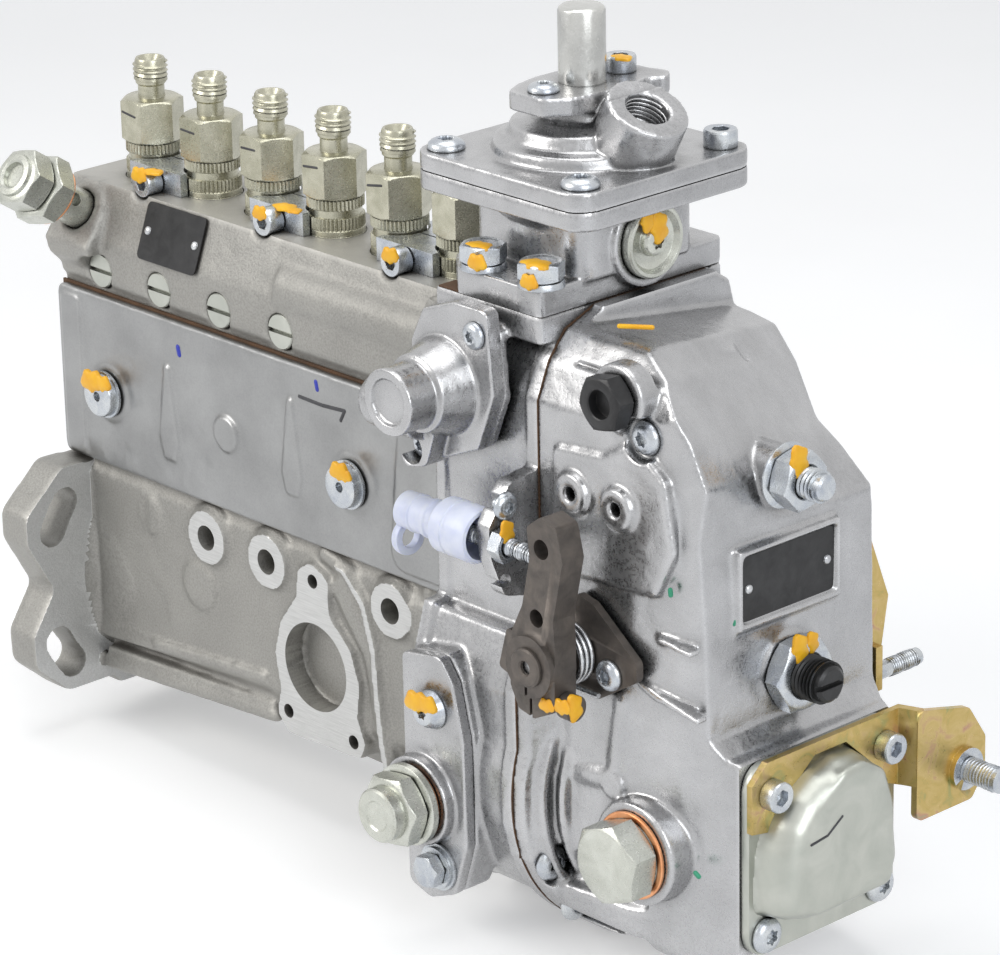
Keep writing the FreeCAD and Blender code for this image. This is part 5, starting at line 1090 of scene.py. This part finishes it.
def governor_castings(finishes):
    """Governor housing, governor cover, timing port plate and shut-off housing."""
    grey = finishes["governor_casting"]
    soft_casting("governor_housing", grey, 0.75, 9, [(0, 213.1, {}), (0, 261.9, {}), (2, BASE_Z, {})],
                 [(1, (224.6, -8.9), 9.2, (-70, -40))], triangles=130000)
    roof = hull([(262.5, -36.6, 132.5), (262.5, 13, 132.5), (297, 13, 132.5), (297, -36.6, 132.5),
                 (262.5, -36.9, 141.6), (262.5, 13, 143.2), (290.5, 13, 143.2), (297, 6.5, 143.2), (297, 13, 136.6),
                 (297, -36.9, 140.6), (262.5, -34.6, 143.9), (294, -34.6, 143.4)])
    extras = [roof] + path_rail([(279, -41.0, 12), (286, -41.5, 13), (295, -41.0, 15), (298.5, -40.5, 42)], 4.6)
    for x, radius in ((269.8, 51.0), (274.6, 46.5)):
        angles = [math.radians(degrees) for degrees in range(-44, 50, 8)]
        extras += path_rail([(x, -radius * math.cos(a), radius * math.sin(a)) for a in angles], 2.0)
    soft_casting("governor_cover", grey, 0.75, 8, [(0, 262.3, {}), (0, 338.5, {}), (2, BASE_Z, {})], extras=extras,
                 triangles=150000)
    soft_casting("timing_port_plate", grey, 0.5, 7, [(1, -56.1, {})], triangles=50000)
    soft_casting("stop_cylinder", grey, 0.5, 6, [(1, -45.4, {})], triangles=60000)


def compensator_castings(finishes):
    """Column, two-layer plate, stepped dome and oval top."""
    grey = finishes["governor_casting"]
    soft_casting("compensator_body", grey, 0.6, 5, [(2, 190.6, {}), (2, 156.0, {})], triangles=80000)
    soft_casting("compensator_cover", grey, 0.6, 5, [(2, 191.0, {}), (2, 218.0, {})], triangles=80000)


# The closing cover's dome: its outline as (Y, Z), then (X, how far the outline is drawn in)
DOME = [(-29.6, -20.0), (-30.2, -11.0), (-29.0, 1.0), (-25.8, 9.6), (-19.4, 17.0), (-10.0, 22.6), (0.0, 25.0),
        (9.0, 24.2), (15.8, 19.0), (20.8, 9.5), (23.6, -3.0), (24.6, -16.0), (20.5, -21.5), (11.0, -24.5),
        (-2.0, -25.6), (-16.0, -25.2), (-25.0, -22.5)]
DOME_LAYERS = [(341.0, 0.0), (347.5, 0.6), (350.5, 1.6), (352.8, 3.2), (354.3, 5.4), (354.75, 8.0)]


def layered(name, outline, layers):
    """A closed form along X from one outline, drawn in by a little more at each layer."""
    middle = Vector((sum(p[0] for p in outline) / len(outline), sum(p[1] for p in outline) / len(outline)))
    work = bmesh.new()
    loops = []
    for x, inset in layers:
        loop = []
        for y, z in outline:
            away = Vector((y, z)) - middle
            spot = middle + away * (1.0 - inset / away.length)
            loop.append(work.verts.new((x * MM, spot.x * MM, spot.y * MM)))
        loops.append(loop)
    return closed(name, work, loops)


def cover_castings(finishes):
    """The inspection cover's soft panel and the zinc closing cover with its pressed dome."""
    soft_casting("inspection_cover", finishes["cover_casting"], 0.7, 6, [(1, -25.8, {})], triangles=90000)
    soft_casting("closing_cover", finishes["cover_zinc"], 0.7, 16, [(0, 338.8, {}), (0, 341.8, {})],
                 extras=[layered("dome", DOME, DOME_LAYERS)], triangles=70000)


# Paint and pen marks

PAINT_CREASE = 60.0


def daub(finish):
    """A low uneven blob of paint on a screw, about five millimetres across."""
    seed = 1.3
    rings = [(0.0, -0.5), (2.5, -0.5)]
    for step in range(1, 7):
        angle = math.radians(90 * step / 6.0)
        rings.append((2.6 * math.cos(angle) if step < 6 else 0.0, 0.7 * math.sin(angle) - 0.1))
    blob = spun("daub", rings, finish, 24)
    for vert in blob.data.vertices:
        angle = math.atan2(vert.co.y, vert.co.x)
        swing = 1.0 + 0.22 * math.sin(2 * angle + seed) + 0.12 * math.sin(5 * angle + 2.1 * seed)
        vert.co.x *= swing
        vert.co.y *= swing
    shade(blob.data, PAINT_CREASE)
    return blob


# Yellow paint on the pump: place, the way it faces and its size
PAINT_SPOTS = [((39.5, -19.3, 151.0), "-Y", 1.35), ((44.5, -17.0, 152.9), "Z", 1.3), ((103.5, -19.3, 151.0), "-Y", 1.2),
               ((108.0, -12.0, 152.6), "Z", 1.5), ((113.0, -12.5, 152.6), "Z", 1.1), ((168.5, -19.3, 150.5), "-Y", 1.3),
               ((232.5, -38.5, 172.3), "Z", 1.5), ((236.0, -43.0, 168.5), "-Y", 1.3), ((258.5, -39.0, 172.3), "Z", 1.7),
               ((259.5, -43.3, 167.5), "-Y", 1.2), ((270.2, 2.0, 177.0), "X", 1.7), ((270.2, -3.0, 180.0), "X", 1.2),
               ((241.5, 14.5, 223.0), "Z", 1.2), ((26.0, -34.1, 77.0), "-Y", 1.9), ((32.0, -34.1, 77.5), "-Y", 1.4),
               ((157.0, -34.1, 77.5), "-Y", 1.5), ((160.0, -34.1, 76.5), "-Y", 1.0), ((266.7, -60.5, 93.2), "X", 1.3),
               ((226.5, -64.5, 26.0), "-Y", 1.7),
               ((231.5, -64.6, 26.5), "-Y", 1.5), ((336.3, -5.0, 119.5), "X", 1.7), ((336.4, -4.5, 58.5), "X", 1.6),
               ((336.4, 1.0, 59.0), "X", 1.2)]


# Marker strokes by finish: the bar's radius and its path, sunk so that only a low flat stroke shows
STROKES = {
    "marker_black": [(0.85, [(131.6, -28.0, 95.9), (143.2, -28.0, 95.6), (154.4, -28.0, 96.4)]),
                     (0.85, [(154.4, -28.0, 96.4), (152.3, -28.0, 92.6)]),
                     (0.5, [(354.6, -18.6, 3.4), (354.6, -11.5, 4.3), (354.6, -5.0, 8.6)])],
    "marker_green": [(0.75, [(319.1, -43.0, 84.0), (319.3, -43.0, 82.4)]),
                     (0.75, [(329.2, -43.0, -6.2), (330.6, -43.0, -7.0)]),
                     (0.75, [(328.0, -24.5, 71.4), (328.0, -24.9, 70.2)])],
    "marker_blue": [(1.3, [(68.2, -27.75, 98.0), (68.8, -27.75, 95.6)]),
                    (1.1, [(140.3, -27.85, 103.0), (140.9, -27.85, 100.6)])],
    "paint_yellow": [(0.75, [(283.0, -28.0, 155.35), (291.0, -22.0, 155.35)])],
}
STROKES["marker_black"] += [(0.5, [(x - 4.6, -9.25, 167.6), (x + 2.2, -9.25, 166.8 + 0.5 * k)])
                            for k, x in enumerate(ELEMENTS[:5])]


def marker_strokes(finishes):
    """Short strokes of marker pen, a hair proud of the surfaces they lie on."""
    for finish, strokes in STROKES.items():
        obj = joined(finish + "_strokes", [bar for radius, path in strokes for bar in path_rail(path, radius)])
        painted(obj, finishes[finish])
        for face in obj.data.polygons:
            face.material_index = 0
        carried(obj)


def paint_marks(finishes):
    """Inspector's paint on screws and plugs, and the ring pressed into the lever's end."""
    yellow = finishes["paint_yellow"]
    lever = [((293.4, -64.5, 44.6), "-Y", 1.2), ((295.8, -61.0, 44.0), "X", 1.5), ((287.5, -65.1, 43.5), "-Y", 1.1)]
    for name, spots, body in (("paint_marks", PAINT_SPOTS, "pump"), ("lever_paint", lever, "lever")):
        obj = repeated(name, daub(yellow), yellow, spots)
        shade(obj.data, PAINT_CREASE)
        carried(obj, body)
    marker_strokes(finishes)
    section = [(2.1, 0.0), (6.3, 0.0), (6.3, 1.0), (5.7, 1.6), (2.6, 1.6), (2.1, 1.0)]
    end = moved_to(tube("lever_end_ring", section, finishes["forged_steel"], 48), (281.5, -67.0, 55.0), "-Y")
    carried(end, "lever")


# Stage

def seen_ray(tree):
    """One for what the camera sees, straight, mirrored or through glass."""
    path = add(tree, "ShaderNodeLightPath")
    most = maths(tree, "MAXIMUM", path.outputs["Is Camera Ray"], path.outputs["Is Glossy Ray"])
    return maths(tree, "MAXIMUM", most, path.outputs["Is Transmission Ray"])


FLOOR_GLOW = 0.32  # what the camera sees added to the floor, so that it meets the white backdrop


def add_floor():
    """A pale floor under the pump that keeps its shadow."""
    made, tree, shader = material("floor")
    tree.links.new(ramp(tree, noise(tree, 200.0), [(0.3, 0.80), (0.7, 0.84)]), shader.inputs["Base Color"])
    shader.inputs["Roughness"].default_value = 0.7
    bright = add(tree, "ShaderNodeEmission", {"Color": (1, 1, 1, 1), "Strength": FLOOR_GLOW})
    both = add(tree, "ShaderNodeAddShader")
    mix = add(tree, "ShaderNodeMixShader")
    tree.links.new(seen_ray(tree), mix.inputs["Fac"])
    wired(tree, (shader, "BSDF", both, 0), (bright, "Emission", both, 1), (shader, "BSDF", mix, 1),
          (both, "Shader", mix, 2), (mix, "Shader", tree.nodes["Material Output"], "Surface"))
    low = CAD_BOX[0][2] - 0.0005
    mesh = bpy.data.meshes.new("floor")
    reach = 4.0
    mesh.from_pydata([(-reach, -reach, low), (reach, -reach, low), (reach, reach, low), (-reach, reach, low)], [],
                     [(0, 1, 2, 3)])
    mesh.materials.append(made)
    placed("floor", mesh)


WORLD_LIGHT = 0.34


def add_world():
    """Cool studio light, with white behind all that the camera sees."""
    world = bpy.data.worlds.new("studio")
    bpy.context.scene.world = world
    world.use_nodes = True
    tree = world.node_tree
    back = tree.nodes["Background"]
    back.inputs["Color"].default_value = (0.80, 0.84, 0.90, 1)
    back.inputs["Strength"].default_value = WORLD_LIGHT
    white = add(tree, "ShaderNodeBackground", {"Color": (1, 1, 1, 1)})
    mix = add(tree, "ShaderNodeMixShader")
    tree.links.new(seen_ray(tree), mix.inputs["Fac"])
    wired(tree, (back, "Background", mix, 1), (white, "Background", mix, 2),
          (mix, "Shader", tree.nodes["World Output"], "Surface"))


def add_lamp(name, place, target, size, power, colour=(1, 1, 1)):
    """A soft rectangular lamp that faces a target, in metres."""
    data = bpy.data.lights.new(name, "AREA")
    data.shape = "RECTANGLE"
    data.size, data.size_y = size
    data.energy = power
    data.color = colour
    lamp = placed(name, data)
    direction = Vector(target) - Vector(place)
    lamp.matrix_world = Matrix.Translation(Vector(place)) @ direction.to_track_quat("-Z", "Y").to_matrix().to_4x4()


def light_up():
    """Three soft lamps: two windows at the front and a ceiling."""
    middle = (0.17, 0.0, 0.08)
    add_lamp("window_left", (-0.45, -1.25, 0.95), middle, (0.9, 0.7), 12.5, (1.0, 0.98, 0.95))
    add_lamp("window_right", (1.5, -0.35, 0.75), middle, (0.8, 0.9), 8.5, (0.94, 0.97, 1.0))
    add_lamp("ceiling", (0.2, 0.1, 1.5), middle, (1.2, 1.0), 9.5)


def main():
    """Dress every node and add the stage."""
    finishes = make_finishes()
    for name in NODES:
        if name not in REMADE:
            dressed(name, finishes[NODE_FINISH.get(name, SLOTS[name])])
    for make in (pump_casting, governor_castings, compensator_castings, cover_castings, delivery_holders,
                 cross_head_screws, main_bolts, plugs, overflow_part, rings_of_copper, nuts_and_stops, cap_of_plastic,
                 compensator_top, brackets, blank_plates, paint_marks):
        make(finishes)
    aim_camera()
    add_world()
    light_up()
    add_floor()
    bpy.context.scene.view_settings.view_transform = "Standard"


main()
